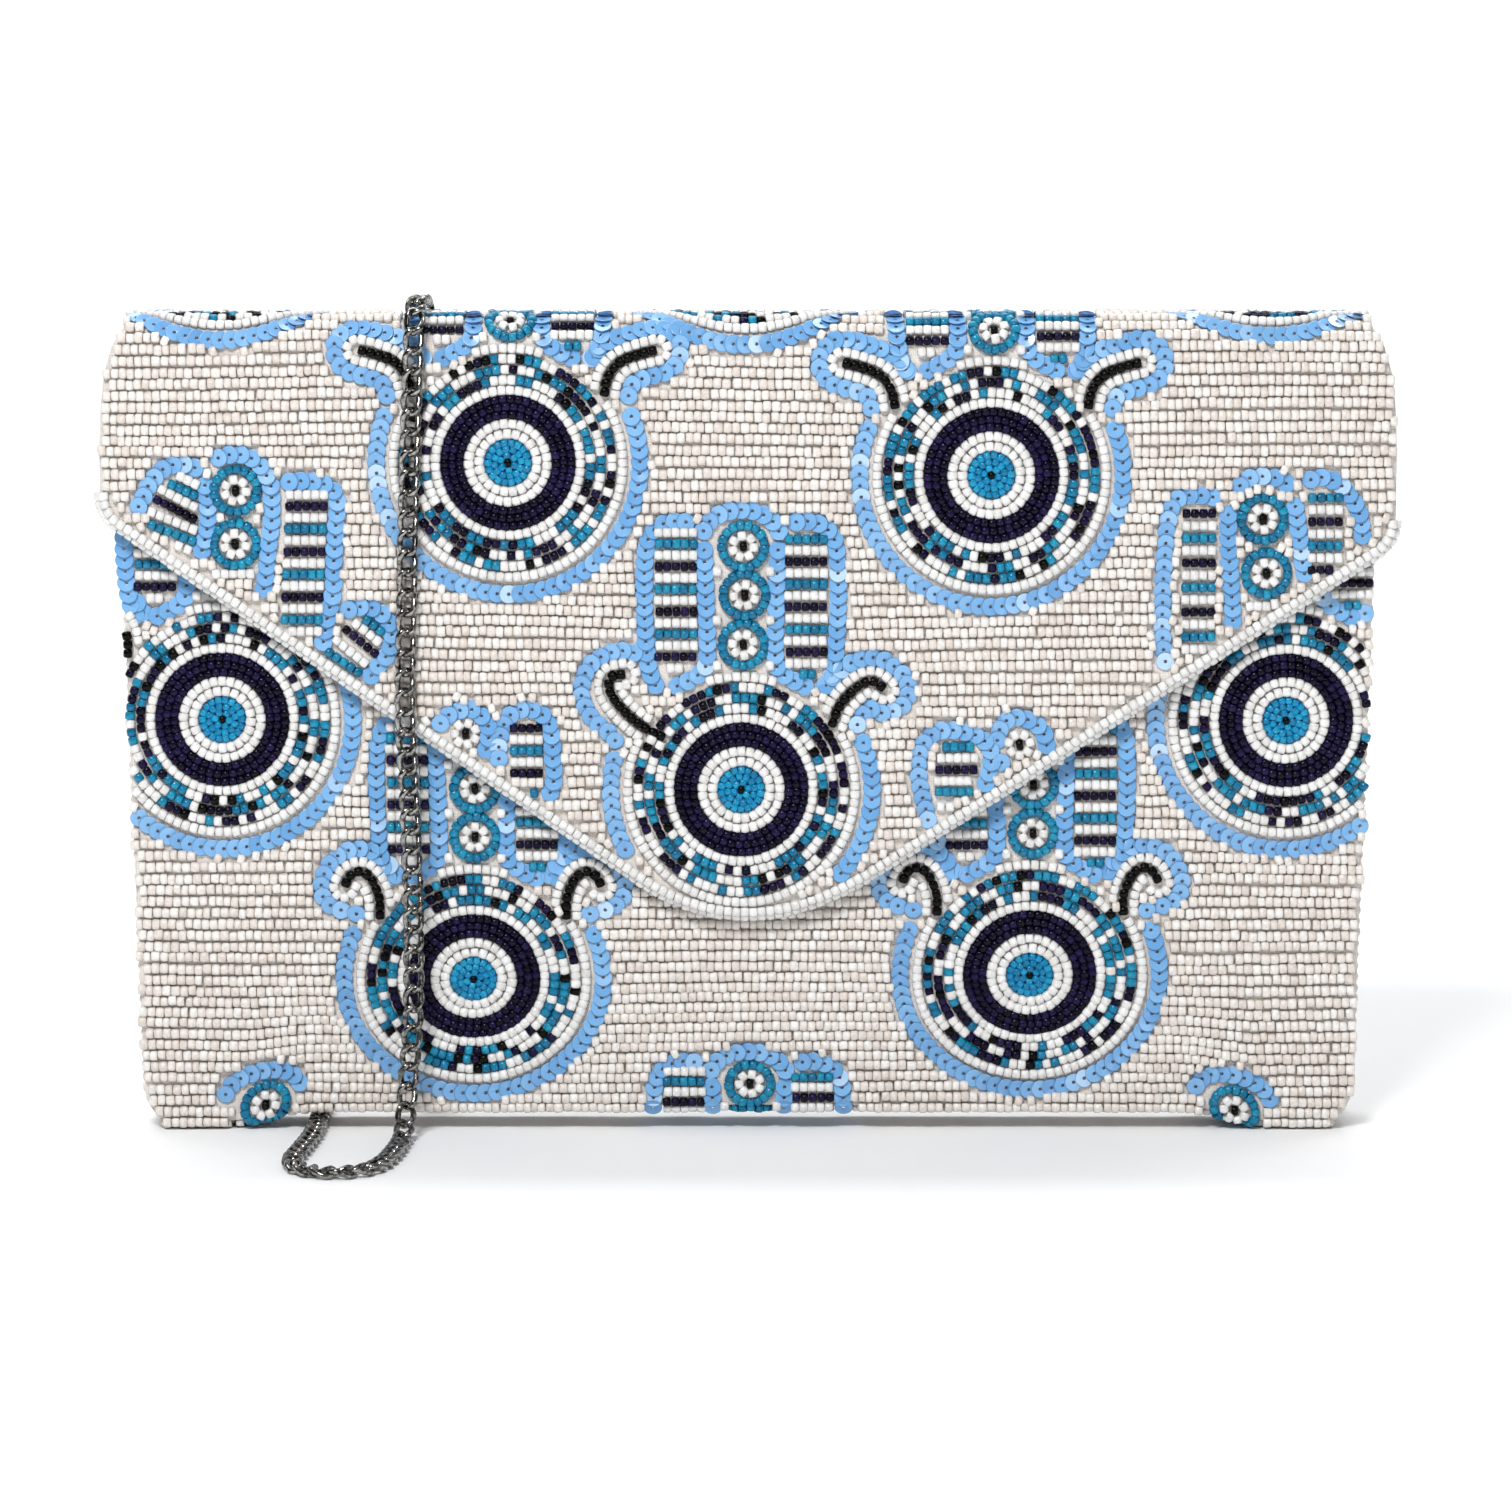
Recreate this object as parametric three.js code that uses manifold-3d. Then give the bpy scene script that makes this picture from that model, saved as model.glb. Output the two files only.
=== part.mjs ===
// Beaded envelope clutch with a curb-chain strap, standing on its base with the flap closed.
// Millimetres. X runs across the front, Y from front to back, Z up; the origin is the middle of the base.
import * as THREE from "three";
import { mergeVertices } from "three/addons/utils/BufferGeometryUtils.js";
import Module from "manifold-3d";

// Driving dimensions
const HEIGHT = 179;
const DEPTH = 24;
const TOP_HALF_WIDTH = 136; // body half width above SHOULDER_Z
const FOOT_HALF_WIDTH = 133; // body half width at the bottom corners
const SHOULDER_Z = 125;
const CORNER_R = 10;
const ARCH_RISE = 3.4; // the base lifts by this much between its two feet
const ARCH_START_X = 112;
const ARCH_FULL_X = 94;
const FRONT_TOP_Z = 150; // mouth of the bag, under the flap
const CREASE_Z = 177; // both creases of the fold
const FRONT_CREASE_T = 2;
const BACK_CREASE_T = 22;
const CREASE_GAP = 3; // stiff layers stop this far from a crease
const GAP = 0.1; // between stacked layers

// Layers as [near, far] depth from the front face of the closed flap.
const FLAP = { beadwork: [0, 2], cloth: [2.1, 2.6], board: [2.7, 3.5], lining: [3.6, 4] };
const FRONT = { beadwork: [5, 7], cloth: [7.1, 7.6], board: [7.7, 8.3], lining: [8.4, 8.8] };
const BACK = { beadwork: [22, 24], cloth: [21.4, 21.9], board: [20.5, 21.3], lining: [20, 20.4] };
// Layers of the sides and base as [outer, inner] inset from the body's outline.
const EDGE = { beadwork: [0, 2], cloth: [2.1, 2.6], board: [2.7, 3.5], lining: [3.6, 4] };

// Flap outline
const FLAP_TOP_HALF_WIDTH = 134.5;
const FLAP_HALF_WIDTH = 139.7;
const FLAP_WAIST = [138.5, 166]; // x and z where the side turns in towards the fold
const FLAP_WIDE_Z = 152; // full width from here down
const FLAP_LEFT_CORNER_Z = 135;
const FLAP_RIGHT_CORNER_Z = 129;
const FLAP_CORNER_R = 5;
const TIP_LEFT = [-24, 55.6]; // the straight edges end here and the rounded tip begins
const TIP_RIGHT = [28.3, 57.5];
const TIP_PULL = [0, 38.9];

// Spine: soft layers only, as [low, high]
const SPINE_HALF_WIDTH = 134;
const SPINE = {
  beadwork: [HEIGHT - 2, HEIGHT], cloth: [HEIGHT - 2.6, HEIGHT - 2.1], lining: [HEIGHT - 3.1, HEIGHT - 2.7],
};

// Magnetic snap
const SNAP_Z = 66;
const SNAP_R = 9;
const SNAP_POST_R = 3.8;
const SNAP_BORE_R = 4.2;
const SNAP_WELL_R = 10; // bare cloth round the socket
const SNAP_SHEET = 0.4;
const SNAP_EDGE = 0.5; // rounding of the socket's rim
const SNAP_BEVEL = 0.3;
const SNAP_POST_LENGTH = 1.8;
const WASHER_RECESS = 0.05;
const WASHER_R = 7;
const WASHER_WELL_R = 7.5;

// Slip pocket on the back lining
const POCKET = { halfWidth: 65, low: 40, high: 140, near: 18.9, panel: 0.4, seam: 3 };

// Strap hardware, right side; the left side mirrors it
const RING_CENTRE = [109, 14.5, 158]; // x, depth, z
const RING_R = 4.2;
const RING_WIRE_R = 0.8;
const TAB_HALF_WIDTH = 3.5;
const TAB_OUTLINE = [ // depth, z
  [19.9, 173], [17.2, 173], [12.6, 163.2], [12.9, 160.4], [16.4, 160.4], [19.9, 168.4],
];
const TAB_EYE_R = 1.1;
const HOOK_CLEARANCE = 1.5; // from the ring's wire to the middle of the hook
const HOOK_X = RING_CENTRE[0] + RING_R + HOOK_CLEARANCE;
const HOOK_INNER_R = 2.6;
const HOOK_OUTER_R = 4.2;
const HOOK_MID_R = (HOOK_INNER_R + HOOK_OUTER_R) / 2;
const HOOK_HALF_THICK = 1.2;
const HOOK_TIP_DEG = 126; // the hook runs round from its tip to its root
const HOOK_ROOT_DEG = 395;
const HINGE_DEG = 38;
const GATE = { inner: 2.8, outer: 4, from: 40, to: 108, halfThick: 0.5, knuckleR: 0.9 };
const CHEEK_R = 1.1;
const SLOT_R = 1.3;
const SLOT_HALF = 0.8;
const PIN_R = 0.35;
const PIN_HOLE_R = 0.42;
const STEM = { from: 3.6, to: 10, halfWidth: 1.7, chamfer: 0.6, eyeX: 8.2, eyeR: 1.1 };
const JUMP_RING_R = 2.4;
const JUMP_WIRE_R = 0.5;

// Chain strap, as the plain tube that the links fill
const STRAP_TUBE_R = 1.2;
const STRAP_SIDES = 8;
const TABLE_Z = 1.35;
const UNDER_BASE = -94.3;

// Strap routes as x, depth, z.
const STRAP_LEFT = [
  [-128.6, 14.5, 158], [-132, 15.1, 157.5], [-135.1, 17.4, 155.7], [-137.6, 21.2, 152.2],
  [-137.6, 24.9, 147.4], [-135.4, 26.9, 140.8], [-132.8, 26.5, 133.2], [-131.2, 25.8, 124],
  [-130.4, 25.5, 98], [-130, 25.5, 58], [-129.2, 25.6, 20], [-128, 27.4, 9],
  [-125, 32, 3], [-119.5, 37.4, TABLE_Z], [-111.5, 40.6, TABLE_Z], [-103.2, 39.2, TABLE_Z],
  [-97, 33.8, TABLE_Z], [UNDER_BASE, 27, TABLE_Z],
];
const STRAP_DRAPE = [
  [UNDER_BASE, 26.6, TABLE_Z], [UNDER_BASE, 12, TABLE_Z], [UNDER_BASE, -5, TABLE_Z],
  [-95.4, -21, TABLE_Z], [-96.2, -34, TABLE_Z], [-93.6, -42.4, TABLE_Z], [-86.8, -46.4, TABLE_Z],
  [-79.8, -43, TABLE_Z], [-76.6, -34, TABLE_Z], [-75.2, -22, TABLE_Z], [-74.6, -11.4, TABLE_Z],
  [-74.4, -6.4, 2.7], [-74.2, -2.75, 6.35], [-73.9, -1.42, 11.4], [-72.6, -1.42, 28],
  [-72.4, -1.42, 50], [-73, -1.42, 72], [-73.8, -1.42, 94], [-73.3, -1.42, 116],
  [-72.7, -1.42, 138], [-72, -1.42, 158], [-71.4, -1.5, 171], [-71.2, -0.95, 175.6],
  [-71.1, 1.5, 179.1], [-71, 5.2, 180.5], [-70.9, 12, 180.6], [-70.8, 18.8, 180.5],
  [-70.7, 22.5, 179.1], [-70.6, 24.95, 175.6], [-70.5, 25.5, 171], [-70.3, 25.5, 150],
  [-70, 25.5, 105], [-70, 25.5, 60], [-69.9, 25.5, 14], [-69.6, 27.1, 7.2],
  [-68.8, 31, 2.9], [-66.2, 37, TABLE_Z], [-61.5, 41.6, TABLE_Z],
];
const STRAP_RIGHT = [
  [-61.2, 41.9, TABLE_Z], [-52, 48.6, TABLE_Z], [-41, 54.6, TABLE_Z], [-28.5, 55, TABLE_Z],
  [-17, 48, TABLE_Z], [-6.5, 38.4, TABLE_Z], [6, 33.6, TABLE_Z], [19, 36.6, TABLE_Z],
  [30, 45.6, TABLE_Z], [42, 53.4, TABLE_Z], [56, 53.4, TABLE_Z], [68, 45.4, TABLE_Z],
  [79, 37, TABLE_Z], [91, 34.8, TABLE_Z], [102, 39.4, TABLE_Z], [111, 45.4, TABLE_Z],
  [120.5, 46, TABLE_Z], [127, 41, TABLE_Z], [129.4, 34.4, TABLE_Z + 0.2], [129.8, 29.4, 3.6],
  [130, 26.5, 8], [130, 25.5, 14], [130, 25.5, 58], [130.4, 25.5, 98],
  [131.2, 25.8, 124], [132.8, 26.5, 133.2], [135.4, 26.9, 140.8], [137.6, 24.9, 147.4],
  [137.6, 21.2, 152.2], [135.1, 17.4, 155.7], [132, 15.1, 157.5], [128.6, 14.5, 158],
];

const COLOURS = {
  pearl: ["#ebe4dc", 0.35, 0],
  cloth: ["#d9c8bd", 0.9, 0],
  board: ["#b9a98f", 0.95, 0],
  lining: ["#e6dccb", 0.7, 0],
  steel: ["#b8b6b0", 0.25, 1],
};

const wasm = await Module();
wasm.setup();

const purse = new THREE.Group();

function add(name, geometry, colour) {
  const [color, roughness, metalness] = COLOURS[colour];
  const material = new THREE.MeshStandardMaterial({ color, roughness, metalness });
  const mesh = new THREE.Mesh(geometry, material);
  mesh.name = name;
  purse.add(mesh);
}

// World Y of a depth behind the flap's front face.
const yAt = (depth) => depth - DEPTH / 2;

// Booleans
function toSolid(geometry) {
  const bare = geometry.clone();
  bare.deleteAttribute("normal");
  bare.deleteAttribute("uv");
  const merged = mergeVertices(bare, 1e-4);
  const vertProperties = merged.attributes.position.array;
  const triVerts = new Uint32Array(merged.index.array);
  return new wasm.Manifold(new wasm.Mesh({ numProp: 3, vertProperties, triVerts }));
}

function toGeometry(solid) {
  const { vertProperties, triVerts } = solid.getMesh();
  const geometry = new THREE.BufferGeometry();
  geometry.setAttribute("position", new THREE.BufferAttribute(vertProperties, 3));
  geometry.setIndex(new THREE.BufferAttribute(triVerts, 1));
  return geometry;
}

const subtract = (from, ...cuts) => cuts.reduce((s, c) => s.subtract(toSolid(c)), from);

// Outlines: open paths of [x, z] that run down the left, along the bottom and up the right.
function arc(cx, cz, r, fromDeg, toDeg, steps) {
  return Array.from({ length: steps + 1 }, (_, i) => {
    const a = THREE.MathUtils.degToRad(fromDeg + ((toDeg - fromDeg) * i) / steps);
    return [cx + r * Math.cos(a), cz + r * Math.sin(a)];
  });
}

function baseHeight(x) {
  return ARCH_RISE * THREE.MathUtils.smoothstep(-Math.abs(x), -ARCH_START_X, -ARCH_FULL_X);
}

const CORNER_STEPS = 6;
const ARCH_STEPS = 5;

function sideX(z) {
  const height = Math.min(z, SHOULDER_Z);
  return THREE.MathUtils.mapLinear(height, CORNER_R, SHOULDER_Z, FOOT_HALF_WIDTH, TOP_HALF_WIDTH);
}

function bodyPath(topZ) {
  const cornerX = FOOT_HALF_WIDTH - CORNER_R;
  const arch = Array.from({ length: ARCH_STEPS + 1 }, (_, i) => {
    const x = THREE.MathUtils.lerp(ARCH_START_X, ARCH_FULL_X, i / ARCH_STEPS);
    return [x, baseHeight(x)];
  });
  const corner = arc(cornerX, CORNER_R, CORNER_R, 0, -90, CORNER_STEPS);
  const right = [[sideX(topZ), topZ], [TOP_HALF_WIDTH, SHOULDER_Z], ...corner, ...arch];
  const left = right.map(([x, z]) => [-x, z]);
  return [...left, ...right.reverse()];
}

function flapPath() {
  const topZ = CREASE_Z - CREASE_GAP;
  const tip = new THREE.QuadraticBezierCurve(
    new THREE.Vector2(...TIP_LEFT), new THREE.Vector2(...TIP_PULL), new THREE.Vector2(...TIP_RIGHT));
  const side = (sign, cornerZ, tipEnd) => {
    const corner = new THREE.Vector2(sign * FLAP_HALF_WIDTH, cornerZ);
    const along = new THREE.Vector2(...tipEnd).sub(corner).setLength(FLAP_CORNER_R).add(corner);
    const round = new THREE.QuadraticBezierCurve(
      new THREE.Vector2(corner.x, corner.y + FLAP_CORNER_R), corner, along);
    return [
      [sign * FLAP_TOP_HALF_WIDTH, topZ], [sign * FLAP_WAIST[0], FLAP_WAIST[1]],
      [sign * FLAP_HALF_WIDTH, FLAP_WIDE_Z], ...round.getPoints(4).map((p) => [p.x, p.y]),
    ];
  };
  return [
    ...side(-1, FLAP_LEFT_CORNER_Z, TIP_LEFT), ...tip.getPoints(12).map((p) => [p.x, p.y]),
    ...side(1, FLAP_RIGHT_CORNER_Z, TIP_RIGHT).reverse(),
  ];
}

// The same path moved inwards by inset, with its two ends kept at their height.
function insetPath(path, inset) {
  const normals = path.slice(1).map(([x, z], i) => {
    const [px, pz] = path[i];
    const length = Math.hypot(x - px, z - pz);
    return [-(z - pz) / length, (x - px) / length];
  });
  return path.map(([x, z], i) => {
    const a = normals[Math.max(i - 1, 0)];
    const b = normals[Math.min(i, normals.length - 1)];
    if (i === 0 || i === path.length - 1) return [x + Math.sign(a[0] + b[0]) * inset, z];
    const scale = inset / (1 + a[0] * b[0] + a[1] * b[1]);
    return [x + (a[0] + b[0]) * scale, z + (a[1] + b[1]) * scale];
  });
}

const toShape = (points) => new THREE.Shape(points.map(([x, z]) => new THREE.Vector2(x, z)));

// A shape in x and z with its thickness along Y, between two depths.
function panel(points, [near, far], holes = []) {
  const shape = toShape(points);
  for (const [x, z, r] of holes) {
    shape.holes.push(new THREE.Path().absarc(x, z, r, 0, Math.PI * 2, true));
  }
  const options = { depth: far - near, bevelEnabled: false, curveSegments: 16 };
  return new THREE.ExtrudeGeometry(shape, options).rotateX(Math.PI / 2).translate(0, yAt(far), 0);
}

// A shape in y and z with its thickness along X, centred on x.
function crossPiece(points, x, halfWidth) {
  const options = { depth: 2 * halfWidth, bevelEnabled: false };
  const geometry = new THREE.ExtrudeGeometry(toShape(points), options);
  const turn = new THREE.Matrix4().makeBasis(
    new THREE.Vector3(0, 1, 0), new THREE.Vector3(0, 0, 1), new THREE.Vector3(1, 0, 0));
  return geometry.applyMatrix4(turn).translate(x - halfWidth, 0, 0);
}

// A flat shape in x and y, centred on z.
function plate(shape, halfThick, z) {
  const options = { depth: 2 * halfThick, bevelEnabled: false, curveSegments: 10 };
  return new THREE.ExtrudeGeometry(shape, options).translate(0, 0, z - halfThick);
}

const disc = (r, length, sides) => new THREE.CylinderGeometry(r, r, length, sides);

// Body panels: front and back each cover the ends of the sides and base.
const frontPath = bodyPath(FRONT_TOP_Z);
const backPath = bodyPath(CREASE_Z - CREASE_GAP);
const WELLS = { beadwork: [[0, SNAP_Z, SNAP_WELL_R]], board: [[0, SNAP_Z, WASHER_WELL_R]] };
const SHADE = { beadwork: "pearl", cloth: "cloth", board: "board", lining: "lining" };

for (const layer of Object.keys(EDGE)) {
  const inset = EDGE[layer][0];
  add("front_" + layer, panel(insetPath(frontPath, inset), FRONT[layer], WELLS[layer]), SHADE[layer]);
  add("back_" + layer, panel(insetPath(backPath, inset), BACK[layer]), SHADE[layer]);
}

// Sides and base: strips of the outline between the two panels, parted in the middle of each corner.
const CORNER_MIDDLE = 2 + CORNER_STEPS / 2;
for (const [layer, [outer, inner]] of Object.entries(EDGE)) {
  const span = [FRONT[layer][1] + GAP, BACK[layer][0] - GAP];
  const outside = insetPath(frontPath, outer);
  const inside = insetPath(frontPath, inner);
  const last = frontPath.length - 1;
  const strip = (from, to) => {
    return [...outside.slice(from, to + 1), ...inside.slice(from, to + 1).reverse()];
  };
  add("base_" + layer, panel(strip(CORNER_MIDDLE + 1, last - CORNER_MIDDLE - 1), span), SHADE[layer]);
  if (layer === "board") continue;
  add("left_side_" + layer, panel(strip(0, CORNER_MIDDLE), span), SHADE[layer]);
  add("right_side_" + layer, panel(strip(last - CORNER_MIDDLE, last), span), SHADE[layer]);
}

// Flap
const flapOutline = flapPath();
const FLAP_INSET = { beadwork: 0, cloth: 0.4, board: 4, lining: 1.5 };
for (const [layer, span] of Object.entries(FLAP)) {
  const wells = layer === "board" ? WELLS.board : [];
  add("flap_" + layer, panel(insetPath(flapOutline, FLAP_INSET[layer]), span, wells), SHADE[layer]);
}

// Spine, between the two creases
for (const [layer, [low, high]] of Object.entries(SPINE)) {
  const x = SPINE_HALF_WIDTH;
  const span = [FRONT_CREASE_T + CREASE_GAP, BACK_CREASE_T - CREASE_GAP];
  add("spine_" + layer, panel([[-x, low], [x, low], [x, high], [-x, high]], span), SHADE[layer]);
}

// Slip pocket: a panel with seams on three sides, open at the top.
{
  const { halfWidth, low, high, near, panel: thick, seam } = POCKET;
  const far = BACK.lining[0] - GAP;
  const box = (x, z0, z1, span) => panel([[-x, z0], [x, z0], [x, z1], [-x, z1]], span);
  const outer = toSolid(box(halfWidth, low, high, [near, far]));
  const hollow = box(halfWidth - seam, low + seam, high + 1, [near + thick, far + 1]);
  add("slip_pocket", toGeometry(subtract(outer, hollow)), "lining");
}

// Magnetic snap: profiles of [radius, depth] turned about Y.
function turned(profile) {
  const points = profile.map(([r, depth]) => new THREE.Vector2(r, yAt(depth)));
  return new THREE.LatheGeometry(points, 28).translate(0, 0, SNAP_Z);
}
{
  const face = FRONT.beadwork[0] - GAP;
  const seat = FRONT.cloth[0] - GAP;
  const floor = seat - SNAP_SHEET;
  add("snap_socket", turned([
    [0, floor], [SNAP_BORE_R, floor], [SNAP_BORE_R, face], [SNAP_R - SNAP_EDGE, face],
    [SNAP_R, face + SNAP_EDGE], [SNAP_R, seat], [0, seat],
  ]), "steel");
}
{
  const seat = FLAP.lining[1] + GAP;
  const plateFace = seat + SNAP_SHEET;
  const end = plateFace + SNAP_POST_LENGTH;
  add("snap_post", turned([
    [0, seat], [SNAP_R - SNAP_BEVEL, seat], [SNAP_R, seat + SNAP_BEVEL], [SNAP_R, plateFace],
    [SNAP_POST_R, plateFace], [SNAP_POST_R, end - SNAP_BEVEL], [SNAP_POST_R - SNAP_BEVEL, end], [0, end],
  ]), "steel");
}
function washer([boardNear, boardFar]) {
  const near = boardNear + WASHER_RECESS;
  const far = boardFar - WASHER_RECESS;
  return turned([[0, near], [WASHER_R, near], [WASHER_R, far], [0, far]]);
}
add("snap_socket_washer", washer(FRONT.board), "steel");
add("snap_post_washer", washer(FLAP.board), "steel");

// Strap hardware
function sector(side, inner, outer, fromDeg, toDeg, steps) {
  const outside = arc(0, 0, outer, fromDeg, toDeg, steps);
  const inside = arc(0, 0, inner, toDeg, fromDeg, steps);
  return toShape([...outside, ...inside].map(([u, v]) => [side * u, v]));
}

function stemShape(side) {
  const { from, to, halfWidth: half, chamfer } = STEM;
  const upper = [[to, half - chamfer], [to - chamfer, half], [from, half]];
  const lower = upper.map(([u, v]) => [u, -v]).reverse();
  return toShape([...lower, ...upper].map(([u, v]) => [side * u, v]));
}

function hardware(side, name) {
  const [ringX, ringDepth, z] = RING_CENTRE;
  const y = yAt(ringDepth);
  const ring = (wire, segments) => new THREE.TorusGeometry(RING_R, wire, 8, segments)
    .rotateX(Math.PI / 2).translate(side * ringX, y, z);
  add(name + "_ring", ring(RING_WIRE_R, 24), "steel");
  const tabOutline = TAB_OUTLINE.map(([depth, height]) => [yAt(depth), height]);
  const tab = toSolid(crossPiece(tabOutline, side * ringX, TAB_HALF_WIDTH));
  add(name + "_tab", toGeometry(subtract(tab, ring(TAB_EYE_R, 24))), "cloth");

  // Lobster clasp, with its hook round the ring and its stem pointing outwards.
  const at = (geometry) => geometry.translate(side * HOOK_X, y, 0);
  const hingeAngle = THREE.MathUtils.degToRad(HINGE_DEG);
  const hinge = [side * HOOK_MID_R * Math.cos(hingeAngle), HOOK_MID_R * Math.sin(hingeAngle)];
  const post = (r, halfLength, sides = 12) => {
    return at(disc(r, 2 * halfLength, sides).rotateX(Math.PI / 2).translate(...hinge, z));
  };
  const hook = sector(side, HOOK_INNER_R, HOOK_OUTER_R, HOOK_TIP_DEG, HOOK_ROOT_DEG, 30);
  const body = toSolid(at(plate(hook, HOOK_HALF_THICK, z)))
    .add(toSolid(at(plate(stemShape(side), HOOK_HALF_THICK, z))))
    .add(toSolid(post(CHEEK_R, HOOK_HALF_THICK)));
  const through = 4 * HOOK_HALF_THICK;
  const eye = at(disc(STEM.eyeR, through, 12).rotateX(Math.PI / 2).translate(side * STEM.eyeX, 0, z));
  const slot = post(SLOT_R, SLOT_HALF, 16);
  const pinHole = post(PIN_HOLE_R, through);
  add(name + "_clasp", toGeometry(subtract(body, eye, slot, pinHole)), "steel");

  const leaf = sector(side, GATE.inner, GATE.outer, GATE.from, GATE.to, 10);
  const gate = toSolid(at(plate(leaf, GATE.halfThick, z))).add(toSolid(post(GATE.knuckleR, GATE.halfThick)));
  add(name + "_clasp_gate", toGeometry(subtract(gate, pinHole)), "steel");
  add(name + "_clasp_pin", post(PIN_R, HOOK_HALF_THICK), "steel");
  const jumpX = side * (HOOK_X + STEM.eyeX + JUMP_RING_R);
  const jump = new THREE.TorusGeometry(JUMP_RING_R, JUMP_WIRE_R, 8, 16).rotateX(Math.PI / 2);
  add(name + "_jump_ring", jump.translate(jumpX, y, z), "steel");
}
hardware(-1, "left");
hardware(1, "right");

// Strap: one step of the tube for each point of its route.
class Route extends THREE.CatmullRomCurve3 {
  getPointAt(u, target) {
    return this.getPoint(u, target);
  }
  getTangentAt(u, target) {
    return this.getTangent(u, target);
  }
}

function strap(name, route) {
  const extrudePath = new Route(route.map(([x, depth, z]) => new THREE.Vector3(x, yAt(depth), z)));
  const section = toShape(arc(0, 0, STRAP_TUBE_R, 0, 360, STRAP_SIDES).slice(0, -1));
  add(name, new THREE.ExtrudeGeometry(section, { steps: route.length - 1, extrudePath }), "steel");
}
strap("strap_left_run", STRAP_LEFT);
strap("strap_drape_run", STRAP_DRAPE);
strap("strap_right_run", STRAP_RIGHT);

export default purse;
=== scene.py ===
# Beaded envelope clutch with a curb-chain strap, standing closed on a pale floor.
# Millimetres inside the builders, in the CAD frame; metres in the meshes.
import bpy
import math
import numpy as np
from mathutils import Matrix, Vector, kdtree


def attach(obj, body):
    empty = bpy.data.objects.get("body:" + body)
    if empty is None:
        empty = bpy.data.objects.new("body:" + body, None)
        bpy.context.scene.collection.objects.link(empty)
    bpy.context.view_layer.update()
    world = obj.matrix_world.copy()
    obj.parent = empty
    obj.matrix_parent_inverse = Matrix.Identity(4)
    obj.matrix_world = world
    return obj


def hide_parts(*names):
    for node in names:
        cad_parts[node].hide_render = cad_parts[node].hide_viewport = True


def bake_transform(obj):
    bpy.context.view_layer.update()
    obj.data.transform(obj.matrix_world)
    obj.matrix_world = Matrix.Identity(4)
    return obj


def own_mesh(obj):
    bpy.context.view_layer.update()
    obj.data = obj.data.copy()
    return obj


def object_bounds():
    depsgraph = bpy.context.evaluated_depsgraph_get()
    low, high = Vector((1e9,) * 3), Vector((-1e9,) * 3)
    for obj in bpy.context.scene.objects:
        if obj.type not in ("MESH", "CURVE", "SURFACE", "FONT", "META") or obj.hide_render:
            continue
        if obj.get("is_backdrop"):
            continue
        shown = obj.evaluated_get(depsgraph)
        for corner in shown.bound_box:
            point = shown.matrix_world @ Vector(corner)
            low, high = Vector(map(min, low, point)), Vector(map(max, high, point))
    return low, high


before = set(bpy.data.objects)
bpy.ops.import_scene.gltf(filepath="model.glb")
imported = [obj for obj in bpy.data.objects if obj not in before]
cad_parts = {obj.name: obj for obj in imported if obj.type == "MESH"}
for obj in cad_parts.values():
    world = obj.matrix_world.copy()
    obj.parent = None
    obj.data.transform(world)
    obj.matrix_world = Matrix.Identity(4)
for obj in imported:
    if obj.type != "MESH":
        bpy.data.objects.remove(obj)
cad_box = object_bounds()
MM = 0.001
TAU = 2 * math.pi
X_AXIS = np.array([1.0, 0, 0])

HEIGHT = 179.0
DEPTH = 24.0
# Height of a chain that lies on the floor, and where it passes below the arched base
TABLE_Z = 1.35
UNDER_BASE = -94.3

# The strap's three runs, as (x, depth, height). Both ends drop from a clasp to the floor behind the bag.
LEFT_DROP = [
    (-128.6, 14.5, 158), (-132, 15.1, 157.5), (-135.1, 17.4, 155.7), (-137.6, 21.2, 152.2),
    (-137.6, 24.9, 147.4), (-135.4, 26.9, 140.8), (-132.8, 26.5, 133.2), (-131.2, 25.8, 124),
    (-130.4, 25.5, 98), (-130, 25.5, 58),
]
STRAP_LEFT = LEFT_DROP + [
    (-129.2, 25.6, 20), (-128, 27.4, 9), (-125, 32, 3), (-119.5, 37.4, TABLE_Z),
    (-111.5, 40.6, TABLE_Z), (-103.2, 39.2, TABLE_Z),
    (-97, 33.8, TABLE_Z), (UNDER_BASE, 27, TABLE_Z),
]
STRAP_DRAPE = [
    (UNDER_BASE, 26.6, TABLE_Z), (UNDER_BASE, 12, TABLE_Z), (UNDER_BASE, -5, TABLE_Z),
    (-95.4, -21, TABLE_Z), (-96.2, -34, TABLE_Z), (-93.6, -42.4, TABLE_Z), (-86.8, -46.4, TABLE_Z),
    (-79.8, -43, TABLE_Z), (-76.6, -34, TABLE_Z), (-75.2, -22, TABLE_Z), (-74.6, -11.4, TABLE_Z),
    (-74.4, -6.4, 2.7), (-74.2, -2.75, 6.35), (-73.9, -1.42, 11.4), (-72.6, -1.42, 28),
    (-72.4, -1.42, 50), (-73, -1.42, 72), (-73.8, -1.42, 94), (-73.3, -1.42, 116),
    (-72.7, -1.42, 138), (-72, -1.42, 158), (-71.4, -1.5, 171), (-71.2, -0.95, 175.6),
    (-71.1, 1.5, 179.1), (-71, 5.2, 180.5), (-70.9, 12, 180.6), (-70.8, 18.8, 180.5),
    (-70.7, 22.5, 179.1), (-70.6, 24.95, 175.6), (-70.5, 25.5, 171), (-70.3, 25.5, 150),
    (-70, 25.5, 105), (-70, 25.5, 60), (-69.9, 25.5, 14), (-69.6, 27.1, 7.2),
    (-68.8, 31, 2.9), (-66.2, 37, TABLE_Z), (-61.5, 41.6, TABLE_Z),
]
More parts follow.
